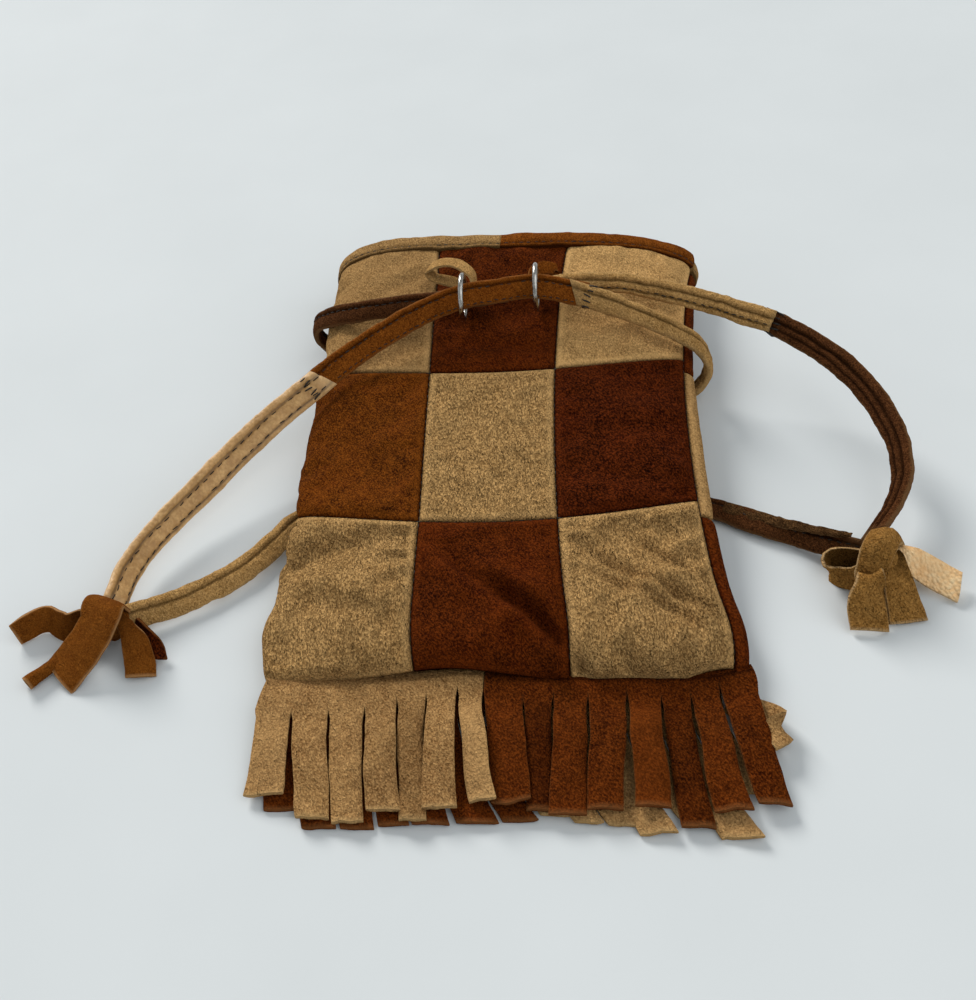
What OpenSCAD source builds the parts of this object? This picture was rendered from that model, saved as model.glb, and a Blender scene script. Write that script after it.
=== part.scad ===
// Patchwork suede drawstring pouch, lying on its back, mouth towards +Y, fringe towards -Y.
// Origin: centre of the pouch at the surface it lies on. The knots and straps reach past it on both sides.

/* [Pouch] */
// Length from the fringe tips to the mouth, mm
pouch_length = 182; // [170:1:200]
// Width across the neck, as it lies puffed, mm
neck_width = 102; // [98:1:106]
// Height of the gaping mouth, mm
mouth_height = 24; // [22:0.5:26]
// Height of the front panel just above the bottom seam, mm
seam_height = 4.1; // [4.1:0.1:4.6]
// Height that the front panel rolls up over the bottom seam, mm
bottom_roll = 6.4; // [5:0.1:7]
// Thickness of the suede, mm
suede = 1.2; // [1:0.1:1.3]
// Length of one row of patches, mm
patch_length = 51; // [50:0.5:52]
// Width of the binding round the mouth, mm
binding_width = 6; // [5:0.5:8]
// Thickness of the folded binding, mm
binding_thickness = 2.2; // [1.6:0.1:2.4]

/* [Fringe] */
// Length of the fringe from the seam to its tips, mm
fringe_length = 34; // [30:1:36]
// Depth of the uncut strip between the seam and the slits, mm
fringe_header = 7; // [4:0.5:10]
// Width of the slits, mm
slit = 0.7; // [0.4:0.1:1.2]
// Strands on the left strip
left_strands = 7; // [5:1:9]
// Strands on the right strip
right_strands = 8; // [6:1:10]
// How far the outer strands splay sideways, mm
splay = 3.5; // [0:0.5:5]

/* [Rings] */
// Outside diameter of a ring, mm
ring_outer = 13.4; // [13.2:0.1:14]
// Thickness of the ring wire, mm
ring_wire = 1.4; // [1.2:0.1:1.5]
// Width of the suede tab that holds a ring, mm
tab_width = 4; // [3:0.5:4.5]

/* [Drawstrings] */
// Width of the folded strap, mm
strap_width = 7.4; // [7:0.1:7.6]
// Thickness of the folded strap, mm
strap_thickness = 2.1; // [1.8:0.1:2.2]
// Width of the knot tails, mm
tail_width = 7; // [6:0.5:7.5]

/* [Hidden] */
tan_suede = [0.63, 0.50, 0.34];
brown_suede = [0.40, 0.21, 0.09];
dark_suede = [0.26, 0.14, 0.08];
smooth_tan = [0.76, 0.56, 0.36];
nickel = [0.75, 0.74, 0.70];

mouth_y = pouch_length / 2;
seam_y = fringe_length - pouch_length / 2;
patch_top_y = mouth_y - binding_width;
row_seams = [seam_y + 0.8, patch_top_y - 2 * patch_length, patch_top_y - patch_length, patch_top_y];
column_seams = [0, 0.38, 0.60, 1];
gap = 0.15;
side_gap = 0.03;
seam_gap = 0.12;
layer_gap = 0.3;
ROWS = ["bottom", "middle", "top"];
COLUMNS = ["left", "centre", "right"];
SIDES = ["front", "back"];
HALVES = ["left", "right"];
patch_steps = 7;
roll_length = 14;
fringe_split_x = -4.5;
binding_split = 0.51;
fringe_half_width = 54.5;
// Room left under the back panel where the straps cross below it: where it begins, and how it fades
strap_room = 4.9;
room_start_y = -34;
room_ramp = 26;
mouth_ramp = 20;
// Share of the pouch's height at which the side seams lie, and how much higher the right one is
seam_share = 0.47;
seam_tilt = 0.08;

// Names of the nodes
function patch_name(side, row, column) = str(side, "_", ROWS[row], "_", COLUMNS[column], "_patch");
function binding_name(side, half) = str(side, "_", half, "_mouth_binding");
function fringe_name(side, half) = str(side, "_", half, "_fringe");

STRAPS = [
    "left_smooth_strap", "left_brown_strap", "left_tan_strap",
    "right_dark_strap", "right_tan_strap", "right_brown_strap"
];
LEFT_TAILS = ["left_wavy_tail", "left_rolled_tail", "left_broad_tail", "left_folded_tail", "left_short_tail"];
RIGHT_TAILS = ["right_front_tail", "right_middle_tail", "right_smooth_tail", "right_curled_tail"];

// ---- Shape of the pouch ----
// A smooth step from 0 to 1
function smooth(s) = let (c = max(0, min(1, s))) c * c * (3 - 2 * c);
// Middle line and half width of the pouch at a place along it
function middle_x(y) = -3.5 + 3 * pow((y - 35) / 90, 2);
function half_width(y) = neck_width / 2 + 3.2 * pow((y - 20) / 70, 2);
// Top of the front panel: a roll over the bottom seam, then a steady rise to the mouth
function roll(y) = let (q = min(1, (y - seam_y) / roll_length)) sqrt(1 - pow(1 - q, 2));
rise = (mouth_height - seam_height - bottom_roll) / (mouth_y - seam_y);
function top_z(y) = seam_height + bottom_roll * roll(y) + rise * (y - seam_y);
// Underside of the back panel: flat, but lifted where the straps pass below it
function under_z(y) = strap_room * smooth((y - room_start_y) / room_ramp) * smooth((mouth_y + 1 - y) / mouth_ramp);
// Height of the side seams, higher on the right
function side_z(y, across) = under_z(y) + (top_z(y) - under_z(y)) * (seam_share + seam_tilt * across);
function front_bulge(across) = sqrt(max(0, 1 - pow(abs(across), 2.6)));
function back_bulge(across) = sqrt(max(0, 1 - pow(abs(across), 6)));

// A point of the outer surface: s runs from 0 at the left side seam to 1 at the right one
function pouch_point(side, s, y) =
    let (
        across = -cos(180 * s),
        seam = side_z(y, across),
        z = side == "front"
            ? seam + (top_z(y) - seam) * front_bulge(across)
            : seam - (seam - under_z(y)) * back_bulge(across)
    )
    [middle_x(y) + half_width(y) * across, y, z];

// Unit normal of the surface, pointing out of the pouch
function pouch_normal(side, s, y) =
    let (
        step = 0.004,
        along_step = 0.3,
        s0 = max(step, s - step),
        s1 = min(1 - step, s + step),
        y0 = max(seam_y + gap, y - along_step),
        y1 = min(mouth_y, y + along_step),
        sideways = pouch_point(side, s1, y) - pouch_point(side, s0, y),
        along = pouch_point(side, s, y1) - pouch_point(side, s, y0),
        n = cross(sideways, along)
    )
    (side == "front" ? 1 : -1) * n / norm(n);

// A point of the inner surface, kept on its own side of the side seams
function inner_point(side, s, y, thickness) =
    let (
        p = pouch_point(side, s, y) - thickness * pouch_normal(side, s, y),
        seam = side_z(y, -cos(180 * s))
    )
    [p.x, p.y, side == "front" ? max(p.z, seam + seam_gap) : min(p.z, seam - seam_gap)];

// ---- Solids made of points ----
// Four-sided faces split into triangles
function triangles(faces) = [
    for (f = faces)
        each len(f) == 4 ? [[f[0], f[1], f[2]], [f[0], f[2], f[3]]] : [f]
];

// Closed skin round a grid of outer points and the matching grid of inner points
module skin(outer, inner, columns, rows, flip) {
    width = columns + 1;
    count = width * (rows + 1);
    function at(i, j) = j * width + i;
    top = [for (j = [0:rows - 1], i = [0:columns - 1]) [at(i, j), at(i, j + 1), at(i + 1, j + 1), at(i + 1, j)]];
    bottom = [for (f = top) [f[3] + count, f[2] + count, f[1] + count, f[0] + count]];
    rim = concat(
        [for (i = [0:columns]) at(i, 0)],
        [for (j = [1:rows]) at(columns, j)],
        [for (i = [columns - 1:-1:0]) at(i, rows)],
        [for (j = [rows - 1:-1:1]) at(0, j)]
    );
    edge = [
        for (k = [0:len(rim) - 1])
            let (a = rim[k], b = rim[(k + 1) % len(rim)])
            [a, b, b + count, a + count]
    ];
    faces = triangles(concat(top, bottom, edge));
    polyhedron(
        points = concat(outer, inner),
        faces = flip ? [for (f = faces) [f[2], f[1], f[0]]] : faces
    );
}

// Piece of the pouch wall between two places across and two places along
module wall(side, s0, s1, y0, y1, thickness, columns, rows) {
    grid = [for (j = [0:rows], i = [0:columns]) [s0 + (s1 - s0) * i / columns, y0 + (y1 - y0) * j / rows]];
    outer = [for (g = grid) pouch_point(side, g[0], g[1])];
    inner = [for (g = grid) inner_point(side, g[0], g[1], thickness)];
    skin(outer, inner, columns, rows, side == "back");
}

// Flat strip swept along a route of [point, direction of its width]
module strip(route, width, thickness) {
    half = width / 2;
    bevel = thickness / 3;
    section = [
        [half, -bevel / 2], [half, bevel / 2], [half - bevel, thickness / 2], [bevel - half, thickness / 2],
        [-half, bevel / 2], [-half, -bevel / 2], [bevel - half, -thickness / 2], [half - bevel, -thickness / 2]
    ];
    sides = len(section);
    last = len(route) - 1;
    function tangent(i) =
        let (t = route[min(i + 1, last)][0] - route[max(i - 1, 0)][0])
        t / norm(t);
    function width_way(i) =
        let (t = tangent(i), w = route[i][1] - t * (route[i][1] * t))
        w / norm(w);
    points = [
        for (i = [0:last])
            let (w = width_way(i), n = cross(tangent(i), w))
            for (p = section) route[i][0] + w * p[0] + n * p[1]
    ];
    walls = [
        for (i = [0:last - 1], k = [0:sides - 1])
            let (m = (k + 1) % sides)
            [i * sides + k, (i + 1) * sides + k, (i + 1) * sides + m, i * sides + m]
    ];
    start = [for (k = [0:sides - 1]) k];
    finish = [for (k = [sides - 1:-1:0]) last * sides + k];
    polyhedron(points = points, faces = concat(triangles(walls), [start, finish]));
}

// ---- Pouch ----
function is_brown(side, row, column) = (row + column + (side == "front" ? 0 : 1)) % 2 == 1;

module patch(side, row, column) {
    s0 = column == 0 ? side_gap : column_seams[column] + gap / neck_width;
    s1 = column == 2 ? 1 - side_gap : column_seams[column + 1] - gap / neck_width;
    color(is_brown(side, row, column) ? brown_suede : tan_suede)
        wall(side, s0, s1, row_seams[row] + gap, row_seams[row + 1] - gap, suede, patch_steps, patch_steps);
}

module mouth_binding(side, half) {
    tan_half = side == "front" ? "left" : "right";
    s0 = half == "left" ? side_gap : binding_split + gap / neck_width;
    s1 = half == "left" ? binding_split - gap / neck_width : 1 - side_gap;
    color(half == tan_half ? tan_suede : brown_suede)
        wall(side, s0, s1, patch_top_y + gap, mouth_y, binding_thickness, 2 * patch_steps, 1);
}

// Strip of suede cut into strands, flat, with the outer strands splayed
module fringe(side, half) {
    tan_half = side == "front" ? "left" : "right";
    strands = half == "left" ? left_strands : right_strands;
    x0 = half == "left" ? -fringe_half_width : fringe_split_x + slit / 2;
    x1 = half == "left" ? fringe_split_x - slit / 2 : fringe_half_width;
    pitch = (x1 - x0) / strands;
    slit_y = seam_y - fringe_header;
    function lean(x) = splay * x / fringe_half_width;
    teeth = [
        for (i = [0:strands - 1])
            let (
                left = x0 + i * pitch + (i == 0 ? 0 : slit / 2),
                right = x0 + (i + 1) * pitch - (i == strands - 1 ? 0 : slit / 2)
            )
            each [[left, slit_y], [left + lean(left), -mouth_y], [right + lean(right), -mouth_y], [right, slit_y]]
    ];
    color(half == tan_half ? tan_suede : brown_suede)
        translate([0, 0, side == "front" ? suede + layer_gap : 0])
            linear_extrude(suede)
                polygon(concat([[x0, seam_y]], teeth, [[x1, seam_y]]));
}

// ---- Rings and their tabs ----
ring_radius = (ring_outer - ring_wire) / 2;
ring_centres = [[-14.5, 54, 28.8], [5.5, 57, 29.2]];
tab_bore = ring_wire + 1.2;
tab_wall = 0.9;
tab_foot = 3;
tab_clearance = 0.25;
// The tab holds the lower far side of the ring, 45 degrees round from its lowest point
tab_offset = ring_radius * [0, sin(45), -sin(45)];

module ring(index) {
    color(nickel)
        translate(ring_centres[index])
            rotate([0, 90, 0])
                rotate_extrude($fn = 48)
                    translate([ring_radius, 0])
                        circle(d = ring_wire, $fn = 20);
}

module ring_tab(index) {
    way = index == 0 ? -1 : 1;
    centre = ring_centres[index];
    tube = tab_bore + 2 * tab_wall;
    foot_x = centre.x + way * (2 * tube + tab_foot - 1);
    foot_y = centre.y + tab_offset.y + 1;
    foot_z = top_z(foot_y - 1) + tab_clearance + suede / 2;
    color(index == 0 ? tan_suede : brown_suede) {
        translate(centre + tab_offset)
            rotate([-45, 0, 0])
                difference() {
                    union() {
                        cylinder(d = tube, h = tab_width, center = true, $fn = 32);
                        translate([way * tube, tube / 2 - tab_wall / 2, 0])
                            cube([2 * tube, tab_wall, tab_width], center = true);
                    }
                    cylinder(d = tab_bore, h = 2 * tab_width, center = true, $fn = 32);
                }
        hull() {
            translate(centre + tab_offset)
                rotate([-45, 0, 0])
                    translate([way * 2 * tube, tube / 2 - tab_wall / 2, 0])
                        cube([1, tab_wall, tab_width], center = true);
            translate([foot_x, foot_y, foot_z])
                cube([tab_foot, tab_width, suede], center = true);
        }
    }
}

// ---- Drawstrings: routes of [point, direction of the strap's width] ----
// First drawstring: left knot, over the front through both rings, round the right edge, under, left knot
left_smooth_route = [
    [[-95.8, -32.5, 6], [-1, 0, 1]],
    [[-95.3, -26, 6.2], [-1, 0, 1]],
    [[-92.5, -17, 6.8], [-1, 0, 1]],
    [[-87.5, -8, 7.8], [-1, 0, 1]],
    [[-80.5, 2, 9.5], [-1, 0.4, 1]],
    [[-73, 12, 12], [-1, 0.6, 1]],
    [[-64.5, 21.5, 15], [-1, 0.8, 1]],
    [[-54.4, 30.3, 18.5], [-0.8, 1, 1]]
];
left_brown_route = [
    [[-53.8, 30.9, 18.8], [-0.8, 1, 1]],
    [[-46, 37.5, 21.5], [-0.6, 1, 1]],
    [[-36.5, 43.5, 24.5], [-0.4, 1, 1]],
    [[-26, 49, 27.5], [-0.2, 1, 1]],
    [[-14.5, 53.2, 29.6], [0, 1, 1]],
    [[-4.5, 55, 29.9], [0, 1, 1]],
    [[5.5, 56.2, 30], [0, 1, 1]],
    [[18, 54, 28.6], [0.1, 1, 1]]
];
left_tan_route = [
    [[18.7, 53.7, 28.3], [0.1, 1, 1]],
    [[26, 51, 27], [0.2, 1, 1]],
    [[34.5, 48, 24.8], [0.2, 1, 0.8]],
    [[42.5, 45.5, 21.8], [0.2, 1, 0.6]],
    [[49, 44.5, 17.5], [0.1, 1, 0.3]],
    [[52, 44, 12], [0, 1, 0]],
    [[51.5, 43.5, 7], [0, 1, 0]],
    [[48.5, 42.5, 3], [0, 1, -0.1]],
    [[42, 39.5, 1.2], [-0.4, 1, 0]],
    [[26, 32.5, 1.1], [-0.4, 1, 0]],
    [[8, 24.5, 1.1], [-0.4, 1, 0]],
    [[-10, 16.5, 1.1], [-0.4, 1, 0]],
    [[-28, 8.5, 1.1], [-0.4, 1, 0]],
    [[-46, 1, 1.2], [-0.5, 1, 0.1]],
    [[-55.5, -4, 2], [-0.8, 1, 0.3]],
    [[-60, -12, 2.8], [-1, 0.6, 0.5]],
    [[-66, -20.5, 3], [-1, 0.9, 0.6]],
    [[-75, -28.5, 3.2], [-0.8, 1, 0.7]],
    [[-84, -34, 3.6], [-0.5, 1, 0.8]],
    [[-90.3, -37, 4.2], [-0.4, 1, 0.8]]
];
// Second drawstring: right knot, over the front through both rings, round the left edge, under, right knot
right_dark_route = [
    [[88.5, -15, 8], [1, 0, 0.8]],
    [[92, -10, 8.8], [1, -0.2, 0.8]],
    [[95.5, -2, 10.2], [1, 0, 0.8]],
    [[96.5, 7.5, 12], [1, 0.1, 0.9]],
    [[94.5, 17.5, 14], [1, 0.3, 0.9]],
    [[90.5, 27, 16], [1, 0.6, 1]],
    [[84.5, 35.5, 18], [1, 1, 1]],
    [[76.8, 42.5, 20], [0.6, 1, 1]],
    [[68.4, 47.8, 21.9], [0.5, 1, 1]]
];
right_tan_route = [
    [[67.7, 48.1, 22.1], [0.5, 1, 1]],
    [[59, 51.5, 23.5], [0.4, 1, 1]],
    [[50, 54.5, 25], [0.3, 1, 1]],
    [[40.5, 57, 26.5], [0.2, 1, 1]],
    [[30, 59, 27.8], [0.1, 1, 1]],
    [[18, 59.6, 28.4], [0, 1, 1]],
    [[5.5, 57.8, 28.4], [0, 1, 1]],
    [[-2, 56.8, 28.2], [0, 1, 1]]
];
right_brown_route = [
    [[-2.5, 56.7, 28.2], [0, 1, 1]],
    [[-14.5, 54.8, 28], [0, 1, 1]],
    [[-24, 54.4, 27], [0, 1, 1]],
    [[-34, 55.2, 25.6], [-0.1, 1, 1]],
    [[-44, 57, 23], [-0.2, 1, 0.8]],
    [[-53.5, 60.5, 18.8], [-0.2, 1, 0.5]],
    [[-59.5, 64.5, 13], [-0.1, 1, 0.2]],
    [[-60, 66.5, 7], [0, 1, 0]],
    [[-56, 66, 2.6], [0.3, 1, 0]],
    [[-47, 60, 1.2], [0.6, 1, 0]],
    [[-32, 50, 1.2], [0.6, 1, 0]],
    [[-17, 40.4, 2], [0.6, 1, 0]],
    [[-4, 32, 3.5], [0.6, 1, 0]],
    [[8, 24.4, 3.5], [0.6, 1, 0]],
    [[20, 16.8, 3.5], [0.6, 1, 0]],
    [[32, 9, 2], [0.6, 1, 0]],
    [[44, 1.5, 1.2], [0.6, 1, 0]],
    [[52.5, -3.5, 2], [0.5, 1, 0.2]],
    [[60, -8, 2.8], [0.4, 1, 0.6]],
    [[69, -12.5, 3], [0.3, 1, 0.8]],
    [[79, -18, 4.4], [0.4, 1, 0.8]]
];
STRAP_ROUTES = [
    left_smooth_route, left_brown_route, left_tan_route,
    right_dark_route, right_tan_route, right_brown_route
];
STRAP_COLOURS = [smooth_tan, brown_suede, tan_suede, dark_suede, tan_suede, brown_suede];

module strap(index) {
    color(STRAP_COLOURS[index])
        strip(STRAP_ROUTES[index], strap_width, strap_thickness);
}

// ---- Knots and their tails ----
left_tail_routes = [
    [[[-106.2, -40.5, 6.8], [0, 1, 0.8]], [[-110, -40.5, 8], [0, 1, 0.6]], [[-115, -41, 5.6], [0, 1, 0.5]],
     [[-120, -40.8, 4.6], [0, 1, 0.3]], [[-123, -41.5, 2.2], [0, 1, 0.2]]],
    [[[-107, -47.5, 2.8], [0.7, -0.7, 0.3]], [[-110.5, -51.5, 1.8], [0.7, -0.7, 0.2]],
     [[-114.5, -56, 1.2], [0.7, -0.7, 0]]],
    [[[-100.6, -49.4, 5], [1, 0, 0]], [[-101.4, -53, 3], [1, 0, 0]], [[-102.5, -58, 0.9], [1, 0, 0]]],
    [[[-92.6, -44.4, 6.4], [1, 0.6, 0]], [[-90.2, -49, 4.6], [1, 0.5, 0]], [[-87.5, -56, 1], [1, 0.3, 0]]],
    [[[-89.4, -41.4, 1], [0.6, 1, 0]], [[-86, -44.2, 0.9], [0.6, 1, 0]], [[-82, -47.5, 0.9], [0.6, 1, 0]]]
];
right_tail_routes = [
    [[[84.4, -32.6, 5.2], [1, 0.2, 0]], [[83, -36.5, 3.4], [1, 0.2, 0]], [[82, -42.5, 0.9], [1, 0.1, 0]]],
    [[[91.2, -32.4, 5], [1, 0.3, 0]], [[93.2, -36.6, 3], [1, 0.4, 0]], [[95.4, -41.5, 0.9], [1, 0.4, 0]]],
    [[[95, -26, 6.2], [0, 1, 0.4]], [[98.6, -28, 5], [0.3, 1, 0.5]], [[105, -32.5, 3], [0.5, 1, 0.4]]],
    [[[78.6, -26.6, 7.6], [0, 1, 0.2]], [[75.4, -27, 6.6], [0, 1, 0]], [[74, -27.6, 4], [0, 1, 0]],
     [[75, -28.2, 1.6], [0, 1, 0]], [[78.4, -28.6, 0.9], [0, 1, 0]]]
];

// Knot: the suede wrapped round the ends of the straps, between two centres
left_knot_centres = [[-97, -39, 6], [-101, -43, 5.6]];
left_knot_radius = 5.4;
right_knot_centres = [[86.5, -22.8, 7.4], [88, -26.5, 6.2]];
right_knot_radius = 5.6;
knot_taper = 0.2;

module knot(centres, radius) {
    color(brown_suede)
        hull() {
            translate(centres[0]) sphere(r = radius, $fn = 24);
            translate(centres[1]) sphere(r = radius - knot_taper, $fn = 24);
        }
}

module tail(route, colour) {
    color(colour)
        strip(route, tail_width, suede);
}

// ---- Assembly ----
for (side = SIDES, row = [0:2], column = [0:2])
    patch(side, row, column);
for (side = SIDES, half = HALVES)
    mouth_binding(side, half);
for (side = SIDES, half = HALVES)
    fringe(side, half);
for (i = [0, 1])
    ring_tab(i);
for (i = [0, 1])
    ring(i);
for (i = [0:len(STRAPS) - 1])
    strap(i);
knot(left_knot_centres, left_knot_radius);  // left_knot
for (i = [0:len(LEFT_TAILS) - 1])
    tail(left_tail_routes[i], brown_suede);
knot(right_knot_centres, right_knot_radius);  // right_knot
for (i = [0:len(RIGHT_TAILS) - 1])
    tail(right_tail_routes[i], RIGHT_TAILS[i] == "right_smooth_tail" ? smooth_tan : brown_suede);
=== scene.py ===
"""The looks of a patchwork suede drawstring pouch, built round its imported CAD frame.

Shapes are worked out in millimetres, in the CAD frame, and turned into metres as each mesh is made.
"""
import math
import bpy
import numpy as np
from mathutils import Matrix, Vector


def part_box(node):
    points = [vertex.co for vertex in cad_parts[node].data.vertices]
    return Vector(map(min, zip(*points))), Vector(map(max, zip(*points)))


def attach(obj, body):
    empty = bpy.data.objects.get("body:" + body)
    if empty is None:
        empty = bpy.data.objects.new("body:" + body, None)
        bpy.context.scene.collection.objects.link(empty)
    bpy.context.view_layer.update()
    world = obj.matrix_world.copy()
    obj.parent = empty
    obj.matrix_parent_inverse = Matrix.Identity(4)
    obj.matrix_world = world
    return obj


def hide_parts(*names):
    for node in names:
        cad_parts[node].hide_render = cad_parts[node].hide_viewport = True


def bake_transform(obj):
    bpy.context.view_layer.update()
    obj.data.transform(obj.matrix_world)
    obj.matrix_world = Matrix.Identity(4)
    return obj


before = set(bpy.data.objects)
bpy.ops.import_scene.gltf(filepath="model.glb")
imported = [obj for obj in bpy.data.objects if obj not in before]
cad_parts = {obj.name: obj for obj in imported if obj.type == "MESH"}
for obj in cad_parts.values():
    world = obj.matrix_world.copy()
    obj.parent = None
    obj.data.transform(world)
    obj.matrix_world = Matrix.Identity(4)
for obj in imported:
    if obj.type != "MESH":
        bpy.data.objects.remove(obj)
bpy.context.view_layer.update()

MM = 0.001


# ---- Driving dimensions, from the frame ----
def box_mm(node):
    """Lowest and highest corners of a CAD node, in millimetres."""
    return [np.array(corner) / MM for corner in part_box(node)]


MOUTH_Y = box_mm("front_left_mouth_binding")[1][1]
MOUTH_HEIGHT = box_mm("front_left_mouth_binding")[1][2]
SEAM_Y = box_mm("front_left_fringe")[1][1]
NECK_WIDTH = 102.0
BINDING_WIDTH = 6.0
PATCH_LENGTH = 51.0
PATCH_TOP_Y = MOUTH_Y - BINDING_WIDTH
ROW_SEAMS = [SEAM_Y, PATCH_TOP_Y - 2 * PATCH_LENGTH, PATCH_TOP_Y - PATCH_LENGTH, PATCH_TOP_Y]
ROW_BOWS = [0.0, 8.0, 8.0, 4.0]
COLUMN_SEAMS = [0.0, 0.35, 0.67, 1.0]
SUEDE = 1.2
SEAM_HEIGHT = 4.1
BOTTOM_ROLL = 6.4
ROLL_LENGTH = 14.0
STRAP_ROOM = 4.9
SEAM_SHIFT = 3.5
STRAP_WIDTH = 7.4
STRAP_THICKNESS = 2.1
LOWEST = 0.05  # of the leather over the surface that it lies on
ROWS = ["bottom", "middle", "top"]
COLUMNS = ["left", "centre", "right"]
SIDES = ("front", "back")
HALVES = ("left", "right")
random = np.random.default_rng(7)


# ---- Number helpers ----
def smooth(t):
    """0 below 0, 1 above 1 and an even rise between."""
    c = np.clip(t, 0, 1)
    return c * c * (3 - 2 * c)


def unit(v):
    """Vectors shortened to a length of 1."""
    return v / np.maximum(np.linalg.norm(v, axis=-1, keepdims=True), 1e-9)


def bell(t):
    """1 at 0, fading to nothing on both sides."""
    return np.exp(-t * t)


def lattice(ix, iy, iz, seed):
    """A repeatable number from -1 to 1 for each lattice point."""
    h = (ix * 374761393 + iy * 668265263 + iz * 2147483647 + seed * 974634777) & 0xFFFFFFFF
    h = ((h ^ (h >> 13)) * 1274126177) & 0xFFFFFFFF
    return ((h ^ (h >> 16)) & 0xFFFF) / 32767.5 - 1


def noise(points, size, seed=0):
    """Smooth noise from -1 to 1 with lumps of about that size, at points in millimetres."""
    p = np.asarray(points, float) / size
    base = np.floor(p).astype(np.int64)
    f = p - base
    f = f * f * (3 - 2 * f)
    total = 0
    for corner in range(8):
        dx, dy, dz = corner & 1, corner >> 1 & 1, corner >> 2 & 1
        weight = np.where(dx, f[..., 0], 1 - f[..., 0])
        weight = weight * np.where(dy, f[..., 1], 1 - f[..., 1])
        weight = weight * np.where(dz, f[..., 2], 1 - f[..., 2])
        total = total + weight * lattice(base[..., 0] + dx, base[..., 1] + dy, base[..., 2] + dz, seed)
    return total


def reach_along(points):
    """Distance along a line from its first point to each of its points."""
    return np.concatenate([[0], np.cumsum(np.linalg.norm(np.diff(points, axis=0), axis=1))])


def table_value(table, i, j, a, b):
    """The value between four neighbours of a table: a of the way to the next row, b to the next column."""
    near = (1 - b) * table[i, j] + b * table[i, j + 1]
    far = (1 - b) * table[i + 1, j] + b * table[i + 1, j + 1]
    return (1 - a) * near + a * far


def follow(points, step):
    """Points and whatever columns come after them, on a smooth curve, one row about every step."""
    p = np.array(points, float)
    u = reach_along(p[:, :3])
    slope = np.gradient(p, u, axis=0)
    q = np.linspace(0, u[-1], max(3, int(round(u[-1] / step)) + 1))
    k = np.clip(np.searchsorted(u, q, "right") - 1, 0, len(u) - 2)
    h = (u[k + 1] - u[k])[:, None]
    t = ((q - u[k]) / h[:, 0])[:, None]
    start = (1 + 2 * t) * (1 - t) ** 2 * p[k] + t * (1 - t) ** 2 * h * slope[k]
    end = t * t * (3 - 2 * t) * p[k + 1] + t * t * (t - 1) * h * slope[k + 1]
    return start + end


# ---- Mesh helpers ----
def make_object(name, verts, faces, material, attributes=None, sharp=None):
    """A smooth mesh object from points in millimetres, which keep the numbers that its material reads."""
    mesh = bpy.data.meshes.new(name)
    mesh.from_pydata((np.asarray(verts) * MM).tolist(), [], [list(map(int, f)) for f in faces])
    mesh.materials.append(material)
    for key, values in (attributes or {}).items():
        kept = mesh.attributes.new(key, "FLOAT", "POINT")
        kept.data.foreach_set("value", np.asarray(values, np.float32))
    mesh.polygons.foreach_set("use_smooth", [True] * len(mesh.polygons))
    if sharp:
        mesh.set_sharp_from_angle(angle=math.radians(sharp))
    mesh.update()
    obj = bpy.data.objects.new(name, mesh)
    bpy.context.scene.collection.objects.link(obj)
    return obj


def declare(obj, slot, body, *replaced):
    """Attaches a piece to the body that it rides on and hides the CAD pieces that it stands for. The slot
    is not used.
    """
    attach(obj, body)
    if replaced:
        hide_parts(*replaced)


def stand(obj, x, y, z, place):
    """Puts an object into the scene at a place, with the directions of its own axes."""
    matrix = np.eye(4)
    matrix[:3] = np.stack([x, y, z, place], 1)
    obj.matrix_world = Matrix(matrix.tolist())
    bpy.context.scene.collection.objects.link(obj)


def grid_faces(rows, columns, start=0, flip=False):
    """Quads of a grid of points stored row by row."""
    i = np.arange(columns - 1)[None, :] + columns * np.arange(rows - 1)[:, None] + start
    quads = np.stack([i, i + 1, i + columns + 1, i + columns], -1).reshape(-1, 4)
    return quads[:, ::-1] if flip else quads


def ring_faces(rows, sides):
    """Faces of a tube made of rings of points stored one after another, with a face at each end."""
    k = np.arange(sides)
    i = (np.arange(rows - 1) * sides)[:, None]
    after = (k + 1) % sides
    quads = np.stack([i + k, i + sides + k, i + sides + after, i + after], -1)
    return [list(f) for f in quads.reshape(-1, 4)] + [list(k), list((rows - 1) * sides + k[::-1])]


def closed_shell(outer, inner, flip):
    """Points and quads of a shell between two matching grids, closed round its rim."""
    rows, columns = outer.shape[:2]
    count = rows * columns
    at = np.arange(count).reshape(rows, columns)
    rim = np.concatenate([at[0], at[1:, -1], at[-1, -2::-1], at[-2:0:-1, 0]])
    edge = np.stack([rim, np.roll(rim, -1), np.roll(rim, -1) + count, rim + count], -1)
    edge = edge if flip else edge[:, ::-1]
    faces = np.concatenate([
        grid_faces(rows, columns, 0, flip), grid_faces(rows, columns, count, not flip), edge
    ])
    return np.concatenate([outer.reshape(-1, 3), inner.reshape(-1, 3)]), faces


def frames(path, side):
    """Directions along a path, across it and out of its upper face."""
    along = unit(np.gradient(path, axis=0))
    across = unit(side - along * np.sum(side * along, -1, keepdims=True))
    return along, across, np.cross(along, across)


def tube(path, side, section):
    """Points and faces of a section of (across, out) values carried along a path, with closed ends."""
    _, across, out = frames(path, side)
    section = np.broadcast_to(section, (len(path),) + section.shape[-2:])
    points = path[:, None] + across[:, None] * section[..., :1] + out[:, None] * section[..., 1:]
    return points.reshape(-1, 3), ring_faces(*points.shape[:2])


def merge(parts):
    """One list of points and faces out of several parts, which begin with their points and faces."""
    verts, faces, start = [], [], 0
    for v, f, *_ in parts:
        verts.append(np.asarray(v))
        faces += [[int(x) + start for x in face] for face in f]
        start += len(v)
    return np.concatenate(verts), faces


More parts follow.
